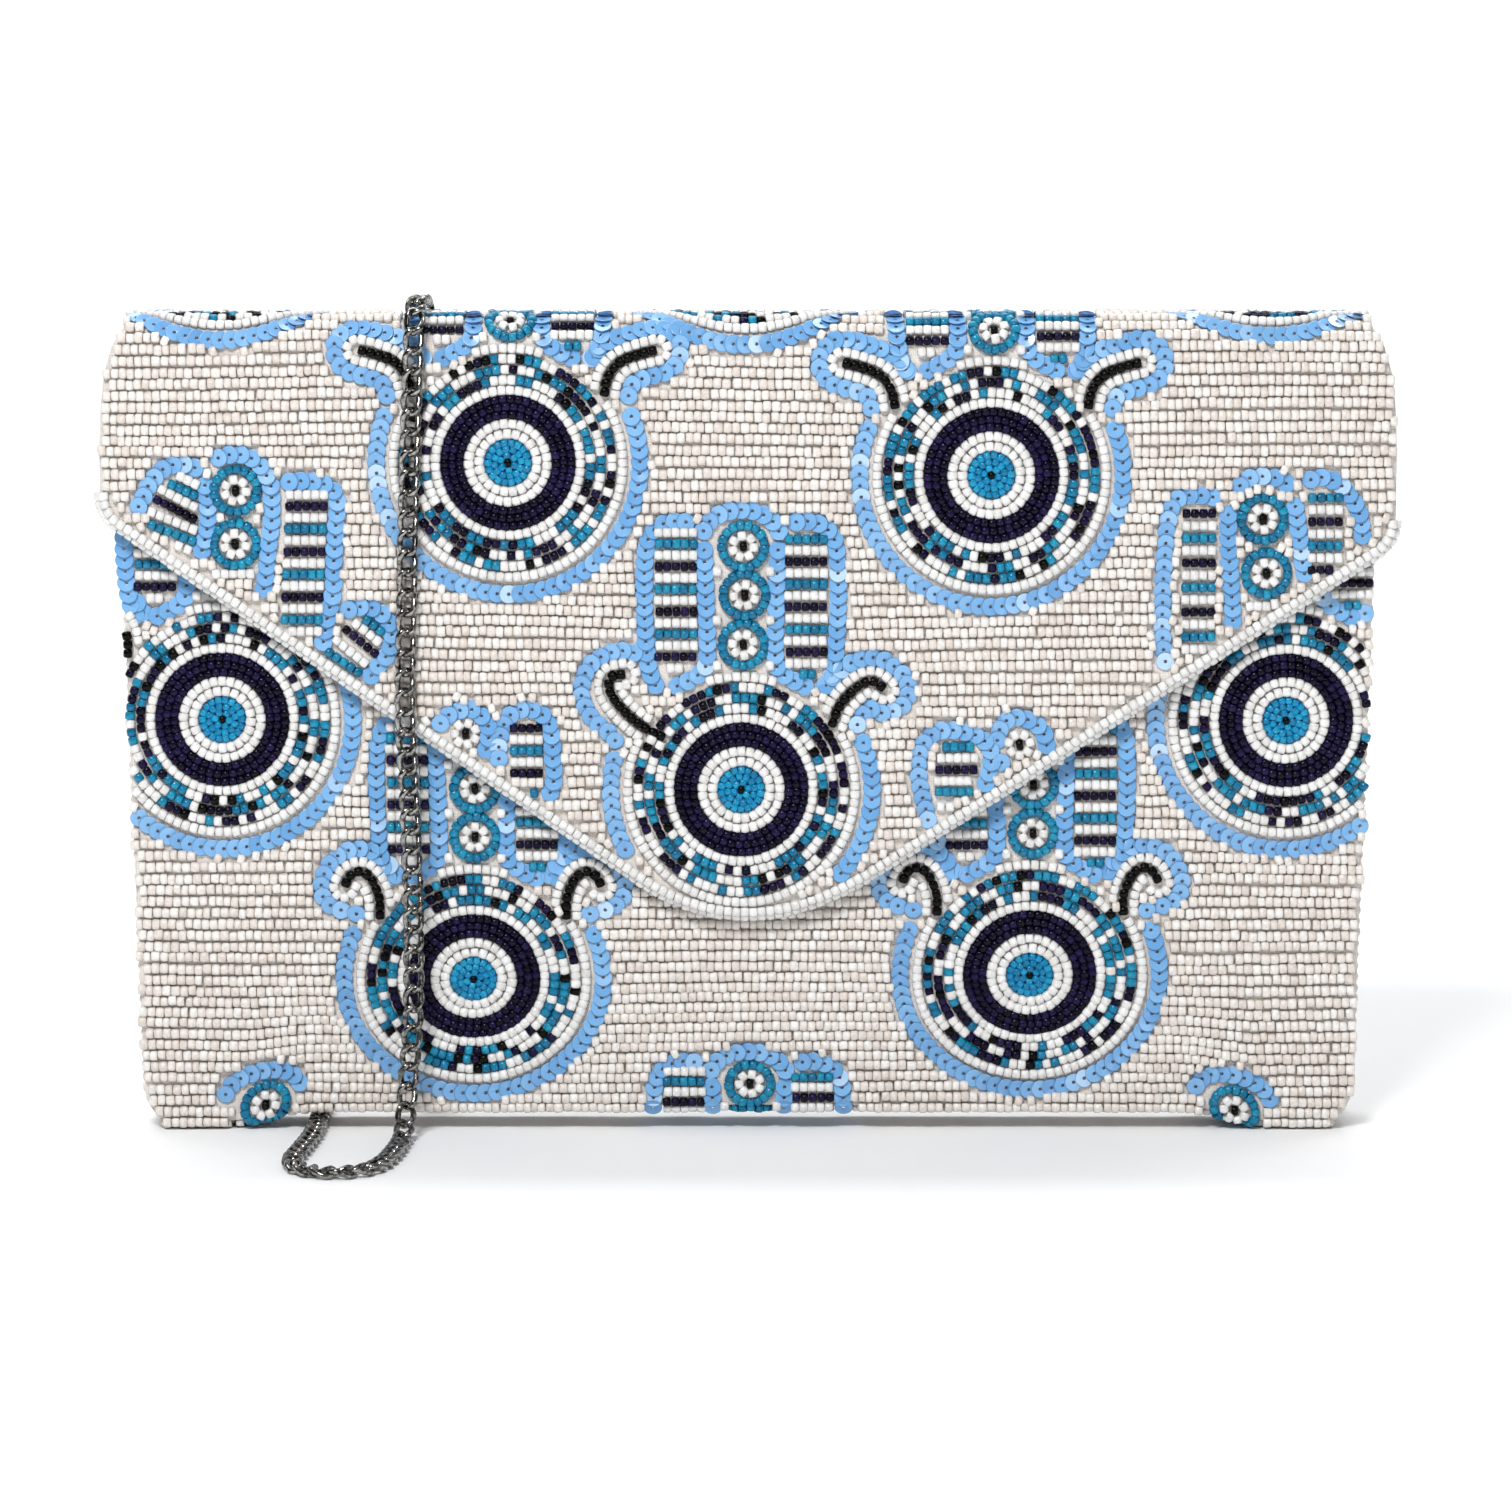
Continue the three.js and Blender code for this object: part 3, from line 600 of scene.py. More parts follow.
def within(places, margin, room):
    m = margin(np.array([p[:2] for p in places]))
    return [p for p, d in zip(places, m) if d >= room]


class Cells:
    """Beads sorted into squares of the plane, so that the near ones are found fast."""
    def __init__(self, beads=()):
        self.held = {}
        for bead in beads:
            self.add(bead)

    def add(self, bead):
        self.held.setdefault((int(bead[0] // 2), int(bead[1] // 2)), []).append(bead)

    def crowded(self, u, v, gap):
        """Whether a bead lies nearer than the gap."""
        i, j = int(u // 2), int(v // 2)
        return any((u - b[0]) ** 2 + (v - b[1]) ** 2 < gap**2
                   for a in (-1, 0, 1) for c in (-1, 0, 1) for b in self.held.get((i + a, j + c), ()))


def clear_of_each_other(beads):
    """Drops a bead that would sit on one already threaded."""
    kept, cells = [], Cells()
    for bead in beads:
        if not cells.crowded(bead[0], bead[1], BEADS_APART):
            cells.add(bead)
            kept.append(bead)
    return kept


def ground_row(v_row):
    """One row of cream beads right across: it waves and leans a little, and steps at each new thread."""
    tilt = rng.normal(0, 0.0006)
    u = -ROW_REACH + rng.uniform(0, 1.8)
    run, step = int(rng.integers(*RUN_OF_BEADS)), 0.0
    row = []
    while u < ROW_REACH:
        length = float(np.clip(rng.normal(1.8, 0.14), 1.4, 2.2))
        wave = 0.6 * math.sin(u / 27 + v_row / 24) * math.sin(v_row / 15)
        v = v_row + wave + tilt * u + step + rng.normal(0, 0.09)
        row.append((u + length / 2, v, 1.0, 0.0, CREAM, length))
        u += length
        run -= 1
        if run == 0:
            run, step = int(rng.integers(*RUN_OF_BEADS)), rng.normal(0, 0.07)
            u += rng.uniform(0.1, 0.4)
    return row


def fill_ground(plan, margin, v0, v1, edge):
    """Threads rows of cream beads through whatever the motifs leave free, then fills the holes left."""
    beads, scales = near_tree(plan.beads), near_tree(plan.sequins)
    for k in range(int((v1 - v0) / ROW) + 1):
        for bead in within(ground_row(v0 + ROW * k), margin, edge):
            u, v = bead[:2]
            if not (beads.find((u, v, 0))[2] < GROUND_FROM_BEAD or plan.is_solid(u, v)
                    or scales.find((u, v, 0))[2] < GROUND_FROM_SEQUIN):
                plan.beads.append(bead)
    cells = Cells(plan.beads)
    us, vs = np.meshgrid(np.arange(-139, 139, FILLER_STEP), np.arange(v0, v1, FILLER_STEP))
    points = np.stack([us.ravel(), vs.ravel()], 1)
    points += rng.uniform(-0.2, 0.2, points.shape)
    for u, v in points[margin(points) > edge]:
        if (scales.find((u, v, 0))[2] < FILLER_FROM_SEQUIN or plan.is_solid(u, v)
                or cells.crowded(u, v, GROUND_FROM_BEAD)):
            continue
        angle = rng.uniform(-0.5, 0.5)
        bead = (u, v, math.cos(angle), math.sin(angle), CREAM, 1.7)
        cells.add(bead)
        plan.beads.append(bead)


# ---- materials, all from nodes
def nodes_of(name):
    material = bpy.data.materials.new(name)
    material.use_nodes = True
    return material, material.node_tree


def put(tree, socket, value):
    """Links a node's output to a socket, or gives the socket a value."""
    if isinstance(value, bpy.types.NodeSocket):
        tree.links.new(value, socket)
    else:
        socket.default_value = (*value, 1) if isinstance(value, tuple) else value


def node(tree, kind, **sockets):
    made = tree.nodes.new("ShaderNode" + kind)
    for key, value in sockets.items():
        put(tree, made.inputs[key.replace("_", " ")], value)
    return made


def shade(material, **sockets):
    tree = material.node_tree
    for key, value in sockets.items():
        put(tree, tree.nodes["Principled BSDF"].inputs[key.replace("_", " ")], value)
    return material


def ramp(tree, source, stops):
    made = node(tree, "ValToRGB", Fac=source)
    bar = made.color_ramp
    while len(bar.elements) < len(stops):
        bar.elements.new(0.5)
    for element, (at, colour) in zip(bar.elements, stops):
        element.position = at
        element.color = (*colour, 1)
    return made.outputs["Color"]


def calc(tree, operation, a, b):
    made = tree.nodes.new("ShaderNodeMath")
    made.operation = operation
    put(tree, made.inputs[0], a)
    put(tree, made.inputs[1], b)
    return made.outputs[0]


def mix(tree, factor, a, b, blend="MIX"):
    made = tree.nodes.new("ShaderNodeMix")
    made.data_type = "RGBA"
    made.blend_type = blend
    for key, value in (("Factor", factor), ("A", a), ("B", b)):
        put(tree, made.inputs[key], value)
    return made.outputs["Result"]


def noise(tree, scale, detail, **sockets):
    """Noise through the object's own space."""
    place = tree.nodes.new("ShaderNodeTexCoord").outputs["Object"]
    return node(tree, "TexNoise", Vector=place, Scale=scale, Detail=detail, **sockets).outputs["Fac"]


def relief(tree, height, strength):
    return node(tree, "Bump", Strength=strength, Distance=0.0002, Height=height).outputs["Normal"]


def bead_material(name, stops, painted_shade_rim, painted_shade_rim_share, rough, coat, specular, mottle=None):
    """Glass of one colour that varies from bead to bead, is mottled inside and darkens towards the hole with
    painted shade.
    """
    material, tree = nodes_of(name)
    glass = ramp(tree, tree.nodes.new("ShaderNodeNewGeometry").outputs["Random Per Island"], stops)
    # Painted shade mixes in towards the rim: the gaps where beads meet, the hole and a sequin's edge
    attribute = tree.nodes.new("ShaderNodeAttribute")
    attribute.attribute_name = "painted_shade_rim"
    painted_shade_mix = calc(tree, "MULTIPLY", calc(tree, "POWER", attribute.outputs["Fac"], 2.2), painted_shade_rim_share)
    if mottle:
        clouds = ramp(tree, noise(tree, 1100.0, 2.0), [(0.38, (mottle,) * 3), (0.6, (1, 1, 1))])
        glass = mix(tree, 1.0, glass, clouds, "MULTIPLY")
    return shade(material, Base_Color=mix(tree, painted_shade_mix, glass, painted_shade_rim), Roughness=rough,
                 Specular_IOR_Level=specular, Coat_Weight=coat, Coat_Roughness=0.08)


def woven(name, base, dark, pitch, rough, bump, sheen, slub):
    """Plain weave: two crossed sets of threads in metres, with slubs."""
    material, tree = nodes_of(name)
    place = tree.nodes.new("ShaderNodeTexCoord").outputs["Object"]
    waves = []
    for axis in ("X", "Z"):
        wave = node(tree, "TexWave", Vector=place, Scale=0.314 / pitch, Distortion=0.6, Detail=1.0)
        wave.bands_direction = axis
        waves.append(wave.outputs["Fac"])
    threads = calc(tree, "MULTIPLY", *waves)
    slubs = ramp(tree, noise(tree, 130.0, 4.0), [(0.3, (slub,) * 3), (0.7, (1, 1, 1))])
    tone = mix(tree, 1.0, mix(tree, threads, dark, base), slubs, "MULTIPLY")
    return shade(material, Base_Color=tone, Normal=relief(tree, threads, bump), Roughness=rough,
                 Sheen_Weight=sheen)


def metal(name, colour, rough, dark_tone):
    material, tree = nodes_of(name)
    # Noise patches of a darker tone over the metal's colour
    tone = ramp(tree, noise(tree, 900.0, 3.0), [(0.35, dark_tone), (0.62, colour)])
    return shade(material, Base_Color=tone, Metallic=1, Roughness=rough)


def pressed_board(name):
    material, tree = nodes_of(name)
    fibres = noise(tree, 420.0, 6.0, Roughness=0.7)
    tone = ramp(tree, fibres, [(0.3, (0.3, 0.23, 0.15)), (0.7, (0.55, 0.45, 0.32))])
    return shade(material, Base_Color=tone, Normal=relief(tree, fibres, 0.3), Roughness=0.9)


# Colours from the darkest bead to the lightest, colour and share of the painted shade at the rim, then
# roughness, coat, specular level and mottle
BEAD_MATERIAL = {
    CREAM: bead_material("pearl_cream_glass",
                         [(0.0, (0.73, 0.665, 0.61)), (0.35, (0.81, 0.755, 0.705)),
                          (0.7, (0.85, 0.81, 0.77)), (1.0, (0.89, 0.87, 0.845))],
                         (0.70, 0.63, 0.56), 0.45, 0.24, 0.4, 0.5, 0.88),
    WHITE: bead_material("pearl_white_glass",
                         [(0.0, (0.76, 0.75, 0.73)), (0.5, (0.84, 0.835, 0.82)), (1.0, (0.89, 0.89, 0.885))],
                         (0.64, 0.62, 0.59), 0.45, 0.22, 0.4, 0.5, 0.88),
    TEAL: bead_material("teal_glass",
                        [(0.0, (0.0, 0.14, 0.28)), (0.5, (0.001, 0.21, 0.39)), (1.0, (0.008, 0.31, 0.50))],
                        (0.0, 0.09, 0.19), 0.5, 0.12, 0.3, 0.26, 0.72),
    CYAN: bead_material("cyan_glass",
                        [(0.0, (0.0, 0.18, 0.38)), (0.5, (0.001, 0.25, 0.50)), (1.0, (0.008, 0.34, 0.58))],
                        (0.0, 0.13, 0.3), 0.4, 0.12, 0.25, 0.26, 0.75),
    NAVY: bead_material("navy_glass",
                        [(0.0, (0.002, 0.001, 0.008)), (0.6, (0.005, 0.003, 0.024)),
                         (1.0, (0.014, 0.008, 0.052))],
                        (0.0005, 0.0005, 0.002), 0.7, 0.09, 0.06, 0.12),
    BLACK: bead_material("black_glass", [(0.0, (0.001, 0.001, 0.001)), (1.0, (0.002, 0.002, 0.002))],
                         (0.0003, 0.0003, 0.0003), 0.5, 0.09, 0.06, 0.10),
}
# The top of the ramp paints the lightest few sequins near white, as a painted glint
SEQUIN_MATERIAL = bead_material("satin_blue_sequin",
                                [(0.0, (0.135, 0.35, 0.67)), (0.5, (0.165, 0.405, 0.73)),
                                 (0.93, (0.21, 0.46, 0.78)), (1.0, (0.50, 0.70, 0.92))],
                                (0.035, 0.13, 0.36), 0.8, 0.28, 0.4, 0.6)
# Thread colours, pitch in metres, roughness, relief, sheen and the depth of the slubs
CLOTH_MATERIAL = woven("ground_cloth", (0.92, 0.88, 0.84), (0.80, 0.74, 0.69), 0.0006, 0.9, 0.4, 0.2, 0.82)
LINING_MATERIAL = woven("satin_lining", (0.80, 0.75, 0.67), (0.70, 0.64, 0.55), 0.00035, 0.42, 0.15, 0.3,
                        0.95)
BOARD_MATERIAL = pressed_board("pressed_board")
NICKEL = metal("polished_nickel", (0.42, 0.407, 0.385), 0.12, (0.035, 0.032, 0.028))
SNAP_NICKEL = metal("snap_nickel", (0.62, 0.61, 0.58), 0.28, (0.42, 0.41, 0.38))


# ---- meshes of many small pieces
BEAD_SIDES, SEQUIN_SIDES = 8, 18
# Places along a bead and its radius there, as shares of its length and radius, and how deep its hole is cut
RING_AT = np.array([-0.5, -0.38, 0, 0.38, 0.5])
RING_R = np.array([0.72, 0.94, 1, 0.94, 0.72])
HOLE_FLOOR = 0.26
BEAD_HEIGHT = 0.87
# Spread of what sets one bead or sequin apart from the next
AXIS_SPREAD, OUT_SPREAD, RADIUS_SPREAD = 0.045, 0.05, 0.04
LEAN, LEAN_SPREAD, WOBBLE_SPREAD, SEQUIN_SPREAD = 0.2, 0.025, 0.045, 0.012
MOST_BEADS, MOST_SEQUINS = 2400, 850
COLOUR_NAME = {WHITE: "white_beads", TEAL: "teal_beads", NAVY: "navy_beads", BLACK: "black_beads",
               CREAM: "cream_beads", CYAN: "cyan_beads"}


def bead_template():
    """Unit bead: vertices as (along its hole, out, across), faces with their UVs, and closeness to its ends,
    where shade is painted.
    """
    n, rings = BEAD_SIDES, len(RING_AT)
    turns = np.linspace(0, TAU, n, endpoint=False)
    verts = [(a, r * math.cos(w), r * math.sin(w)) for a, r in zip(RING_AT, RING_R) for w in turns]
    verts += [(-HOLE_FLOOR, 0, 0), (HOLE_FLOOR, 0, 0)]
    heights = [0.14 + 0.72 * i / (rings - 1) for i in range(rings)]
    uvs = [[(j / n, low), ((j + 1) / n, low), ((j + 1) / n, high), (j / n, high)]
           for low, high in zip(heights[:-1], heights[1:]) for j in range(n)]
    ends, end_uvs = [], []
    last = (rings - 1) * n
    for j in range(n):
        k, u = (j + 1) % n, (j + 0.5) / n
        ends += [(rings * n, k, j), (rings * n + 1, last + j, last + k)]
        end_uvs += [[(u, 0.02), ((j + 1) / n, 0.14), (j / n, 0.14)],
                    [(u, 0.98), (j / n, 0.86), ((j + 1) / n, 0.86)]]
    # Painted shade darkens each bead towards its ends, in the gaps where it meets its neighbours and at its
    # hole
    painted_shade_rim = np.abs(np.array(verts)[:, 0]) * 2
    return np.array(verts), [(grid_faces(rings, n, closed_m=True), uvs), (ends, end_uvs)], painted_shade_rim


def sequin_template():
    """Unit-radius cup sequin that faces out, in the same form."""
    # Radius and height from the hole over the cup to the edge and back underneath
    rows = [(0.17, 0.0), (0.27, 0.008), (0.9, 0.03), (1.0, 0.034), (1.0, -0.012), (0.17, -0.040)]
    n = SEQUIN_SIDES
    turns = np.linspace(0, TAU, n, endpoint=False)
    verts = [(r * math.cos(w), h, r * math.sin(w)) for r, h in rows for w in turns]

    def spot(row, col, middle):
        r, w = 0.235 * rows[row][0], TAU * col / n
        return (middle + r * math.cos(w), 0.5 + 2 * r * math.sin(w))

    uvs = []
    for i in range(len(rows)):
        k, middle = (i + 1) % len(rows), 0.75 if i == 4 else 0.25
        uvs += [[spot(i, j, middle), spot(i, j + 1, middle), spot(k, j + 1, middle), spot(k, j, middle)]
                for j in range(n)]
    # Painted shade at the hole and round the edge, in place of the thin shadow lines there
    painted_shade_rim = np.repeat([1.0, 0.0, 0.0, 0.85, 1.0, 1.0], n)
    return np.array(verts), [(grid_faces(len(rows), n, True, True), uvs)], painted_shade_rim


BEAD, SEQUIN = bead_template(), sequin_template()


def scatter(name, template, places, axes, outs, scales, material):
    """One object of many copies of a template. scales is (along, out, across) for each copy."""
    verts, groups, painted_shade_rim = template
    n = len(places)
    axes = unit(axes)
    outs = unit(outs - np.sum(outs * axes, 1, keepdims=True) * axes)
    across = np.cross(axes, outs)
    local = verts[None] * scales[:, None]
    co = (places[:, None] + local[..., :1] * axes[:, None] + local[..., 1:2] * outs[:, None]
          + local[..., 2:] * across[:, None])
    first = (np.arange(n) * len(verts))[:, None, None]
    # Each copy has a square of the UV map to itself
    cols = int(math.ceil(math.sqrt(n)))
    cell = (np.stack([np.arange(n) % cols, np.arange(n) // cols], 1) / cols)[:, None, None]
    corners, sizes, uv = [], [], []
    for faces, face_uvs in groups:
        faces, face_uvs = np.array(faces, np.int64), np.array(face_uvs, float)
        corners.append((first + faces).ravel())
        sizes.append(np.full(n * len(faces), faces.shape[1]))
        uv.append((cell + (0.05 + 0.9 * face_uvs) / cols).ravel())
    mesh = new_mesh(name, (co * MM).reshape(-1, 3), np.concatenate(corners), np.concatenate(sizes))
    layer = mesh.uv_layers.new(name="OFBake")
    layer.data.foreach_set("uv", np.concatenate(uv).astype(np.float32))
    share = mesh.attributes.new("painted_shade_rim", "FLOAT", "POINT")
    share.data.foreach_set("value", np.tile(painted_shade_rim, n).astype(np.float32))
    mesh.materials.append(material)
    obj = place_object(name, mesh)
    return obj


def in_parts(name, rows, most):
    """Splits the rows evenly where they are too many for one piece, and names each part."""
    parts = max(math.ceil(len(rows) / most), 1)
    for k in range(parts):
        part = rows[len(rows) * k // parts:len(rows) * (k + 1) // parts]
        if part:
            yield name + ("" if parts == 1 else f"_{k + 1}"), part


def columns_of(rows):
    """The places, directions and outward directions of the rows, as arrays."""
    return (np.array([row[k] for row in rows]) for k in range(3))


def thread_beads(name, rows):
    """A piece for each colour from (place, axis, outward, colour, length) for each bead."""
    made = []
    for colour, label in COLOUR_NAME.items():
        chosen = [row for row in rows if row[3] == colour]
        for title, part in in_parts(f"{name}_{label}", chosen, MOST_BEADS):
            n = len(part)
            places, axes, outs = columns_of(part)
            axes = axes + rng.normal(0, AXIS_SPREAD, (n, 3))
            outs = outs + rng.normal(0, OUT_SPREAD, (n, 3))
            length = np.array([row[4] for row in part]) * rng.uniform(0.97, 1.01, n)
            radius = RADIUS[colour] * np.clip(rng.normal(0.975, RADIUS_SPREAD, n), 0.87, 1.04)
            height = BEAD_HEIGHT * radius
            places = places - unit(outs) * (RADIUS[colour] - height)[:, None]
            scales = np.stack([length, height, radius], 1)
            made.append(scatter(title, BEAD, places, axes, outs, scales, BEAD_MATERIAL[colour]))
    return made


def sew_sequins(name, rows):
    """Pieces from (place, along, outward) for each sequin, which leans on the one before it."""
    made = []
    for title, part in in_parts(name + "_sequins", rows, MOST_SEQUINS):
        n = len(part)
        places, alongs, outs = columns_of(part)
        alongs, outs = unit(alongs), unit(outs)
        lean = rng.normal(LEAN, LEAN_SPREAD, n)[:, None]
        wobble = rng.normal(0, WOBBLE_SPREAD, n)[:, None]
        tilted = unit(outs - lean * alongs + wobble * np.cross(alongs, outs))
        radius = SEQUIN_R * np.clip(rng.normal(1, SEQUIN_SPREAD, n), 0.97, 1.03)
        scales = np.stack([radius] * 3, 1)
        rising = unit(alongs + lean * outs)
        made.append(scatter(title, SEQUIN, places, rising, tilted, scales, SEQUIN_MATERIAL))
    return made


# ---- beadwork on every face
def laid(skin, marks, lift=0.0):
    """(place, direction, outward) on a skin for marks that begin with u, v and their direction there."""
    if not len(marks):
        return []
    m = np.array([mark[:4] for mark in marks])
    place, out, up = lay(skin, m[:, 0], m[:, 1], lift)
    return [(p, du * X_AXIS + dv * w, o) for p, o, w, (du, dv) in zip(place, out, up, m[:, 2:])]


def place_plan(skin, plan, v0, v1):
    """The beads and the sequins that a plan has between two values of v, laid on the skin."""
    beads, sequins = ([mark for mark in marks if v0 <= mark[1] < v1] for marks in (plan.beads, plan.sequins))
    rows = []
    for bead, (place, axis, out) in zip(beads, laid(skin, beads)):
        colour, length = bead[4], bead[5] if len(bead) > 5 else LENGTH[bead[4]]
        rows.append((place + out * (RADIUS[colour] - BEAD_R), axis, out, colour, length))
    return rows, laid(skin, sequins, SEQUIN_LIFT)


def inwards(line):
    """Directions from the flap's edge towards its middle."""
    t = unit(np.gradient(line, axis=0))
    return np.stack([-t[:, 1], t[:, 0]], 1)


def flap_side_margin(p):
    """Room on the outer skin, less the strung rows along the flap's slopes."""
    m = over_margin(p)
    slant = distance_to(p, FLAP_EDGE[6:-6])
    return np.where(p[:, 1] < SLOPES_TOP, np.minimum(m, slant - 2.0), m)


over, under = motifs()
for plan, margin, sequin_room in ((over, flap_side_margin, 1.9), (under, under_margin, 1.1)):
    plan.beads = clear_of_each_other(within(plan.beads, margin, 1.0))
    plan.sequins = within(plan.sequins, margin, sequin_room)
fill_ground(over, flap_side_margin, 48.5, V_BASE, 1.1)
fill_ground(under, under_margin, UNDER_S[0] + 0.2, FRONT_TOP - 1, 1.0)

EDGE_LENGTH = 1.85
slope = FLAP_EDGE[5:-5]
EDGE_ROWS = []
for inset, lift in ((1.2, 0.0), (0.15, -1.25)):
    marks = np.hstack(resampled(slope + inset * inwards(slope), EDGE_LENGTH))
    EDGE_ROWS += [(*row, WHITE, EDGE_LENGTH) for row in laid("over", marks, lift)]

PIECES = {}
for name, skin, plan, v0, v1 in (
        ("flap", "over", over, -math.inf, V_FOLD_IN),
        ("front_fold", "over", over, V_FOLD_IN, V_TOP),
        ("back_fold", "over", over, V_TOP, V_BACK),
        ("back", "over", over, V_BACK, math.inf),
        ("front", "under", under, UNDER_FACE_Z, math.inf),
        ("base", "under", under, -math.inf, UNDER_FACE_Z)):
    rows, sew = place_plan(skin, plan, v0, v1)
    if name == "flap":
        rows += EDGE_ROWS
    PIECES[name] = thread_beads(name, rows) + sew_sequins(name, sew)


def side_line(inset):
    """Outline of a side seen from the front, as half width and height, from the top down round the corner."""
    z, r = np.linspace(FRONT_TOP, BODY_CORNER_R, 60), BODY_CORNER_R
    a = np.radians(np.linspace(0, -45, 10))[1:]
    corner = np.stack([BODY_HALF_WIDTH - r + (r - inset) * np.cos(a), r + (r - inset) * np.sin(a)], 1)
    return np.vstack([np.stack([body_half_width(z) - inset, z], 1), corner])


def side_rows(sign):
    """Rows of cream beads from the front of a side to its back."""
    line, d = resampled(side_line(BEAD_R), ROW)
    rows = []
    for (x, z), (dx, dz) in zip(line, d):
        out = unit(np.array([abs(dz), 0, -abs(dx)]))
        t = 7.6 + rng.uniform(0, 0.4)
        while t < 21.3:
            length = float(np.clip(rng.normal(1.8, 0.1), 1.5, 2.1))
            rows.append((np.array([sign * x, y_at(t + length / 2), z]), np.array([0, 1.0, 0]),
                         out * (sign, 1, 1), CREAM, length))
            t += length
    return rows


for side, sign in (("left_side", -1), ("right_side", 1)):
    PIECES[side] = thread_beads(side, side_rows(sign))


# ---- cloth, linings and edgings
FRONT_BLEND = ("flap", "spine", (0, y_at(1) * MM, 0.168), (0, y_at(8) * MM, 0.178))
BACK_BLEND = ("spine", "bag", (0, y_at(16) * MM, 0.178), (0, y_at(23) * MM, 0.168))
CLOTH_THICK, LINING_THICK, CLOTH_LIFT = 0.45, 0.35, -0.85


def sheet_grid(name, points, material, thick, flip=False):
    """A sheet through an n by m grid of points in millimetres, thickened inwards."""
    faces = grid_faces(*points.shape[:2])
    obj = mesh_object(name, points.reshape(-1, 3) * MM, faces[:, ::-1] if flip else faces)
    obj.data.materials.append(material)
    solid = obj.modifiers.new("thickness", "SOLIDIFY")
    solid.thickness = thick * MM
    solid.offset = -1
    return obj


def over_limits(v, inset):
    if v < FLAP_TOP:
        return flap_limits(v, inset)
    half = float(fold_half_width(v)) - inset
    return -half, half


def front_limits(v, inset):
    half = float(body_half_width(max(v, 0.5))) if v > UNDER_FACE_Z else BASE_HALF_WIDTH
    return -half + inset, half - inset


def skin_sheet(name, skin, v_values, limits, inset, lift, material, thick, columns, crease=0.0):
    """A sheet that follows a skin at some depth under it, with soft creases."""
    grid = []
    for v in v_values:
        u = np.linspace(*limits(v, inset), columns)
        soft = crease * np.sin(u / 9.0 + 1.7 * np.sin(v / 31.0)) * np.sin(v / 17.0 + 0.6)
        grid.append(lay(skin, u, np.full(columns, v), lift + soft)[0])
    return sheet_grid(name, np.array(grid), material, thick)


def add_sheet(obj, body, nodes, blend=None):
    """Hides the nodes that a sheet stands for and attaches it to its body, or, where it blends two bodies,
    bakes its transform.
    """
    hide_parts(*nodes)
    if blend:
        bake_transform(obj)
    else:
        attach(obj, body)


FLAP_LOW = float(FLAP_EDGE[:, 1].min())
V_FLAP = np.concatenate([FLAP_LOW + 1.6 + 8 * np.linspace(0, 1, 8) ** 2, np.linspace(60, V_FOLD_IN, 40)])
# The back's sheet has an inset of its own, and stops short of the base
for layer, word, slot, material, lift, thick, inset, back_inset, back_stop, crease in (
        ("cloth", "ground_cloth", "ground_cloth", CLOTH_MATERIAL, CLOTH_LIFT, CLOTH_THICK,
         0.5, 0.5, 1.2, 0.0),
        ("lining", "satin_lining", "lining", LINING_MATERIAL, -2.57, LINING_THICK,
         1.6, 3.7, 5.2, 0.05)):
    v_back = np.linspace(V_BACK, V_BASE - back_stop, 50)
    for name, nodes, body, blend, board, v_values, edge, columns, soft in (
            ("flap_" + word, ["flap_" + layer], "flap", None, "flap_board", V_FLAP, inset, 90, crease),
            ("front_fold_" + layer, ["spine_" + layer], None, FRONT_BLEND, "flap_board",
             np.linspace(V_FOLD_IN, V_TOP, 22), inset, 60, 0),
            ("back_fold_" + layer, [], None, BACK_BLEND, "back_board",
             np.linspace(V_TOP, V_BACK, 22), inset, 60, 0),
            ("back_" + word, ["back_" + layer], "bag", None, "back_board", v_back, back_inset, 90, crease)):
        sheet = skin_sheet(name, "over", v_values, over_limits, edge, lift, material, thick, columns, soft)
        add_sheet(sheet, body, nodes, blend)

v_front = np.concatenate([np.linspace(UNDER_S[0] + 0.3, 0.2, 10), np.linspace(1, 12, 12),
                          np.linspace(15, FRONT_TOP - 0.4, 40)])
add_sheet(skin_sheet("front_ground_cloth", "under", v_front, front_limits, 0.8, CLOTH_LIFT, CLOTH_MATERIAL,
                     CLOTH_THICK, 110), "bag", ["front_cloth", "base_cloth"])
add_sheet(skin_sheet("front_satin_lining", "under", np.linspace(7.4, FRONT_TOP - 0.6, 50), front_limits,
                     3.8, -2.42, LINING_MATERIAL, 0.33, 90, 0.04),
          "bag", ["front_lining"])

# The lining of the base and the sides lies between these depths
LINING_FRONT, LINING_BACK = 8.9, 19.9
base_u = np.linspace(-122, 122, 110)
base = np.array([np.stack([base_u, np.full_like(base_u, y_at(t)), 3.62 + arch(base_u)], 1)
                 for t in np.linspace(LINING_FRONT, LINING_BACK, 8)])
add_sheet(sheet_grid("base_satin_lining", base, LINING_MATERIAL, LINING_THICK, flip=True), "bag",
          ["base_lining"])
for side, sign in (("left", -1), ("right", 1)):
    for layer, word, slot, inset, t0, t1, material, thick in (
            ("cloth", "ground_cloth", "ground_cloth", 2.15, 7.3, 21.6, CLOTH_MATERIAL, CLOTH_THICK),
            ("lining", "satin_lining", "lining", 3.62, LINING_FRONT, LINING_BACK, LINING_MATERIAL,
             LINING_THICK)):
        line, _ = resampled(side_line(inset), 3.0)
        grid = np.array([[(sign * x, y_at(t), z) for t in np.linspace(t0, t1, 7)] for x, z in line])
        sheet = sheet_grid(f"{side}_side_{word}", grid, material, thick, flip=sign < 0)
        add_sheet(sheet, "bag", [f"{side}_side_{layer}"])

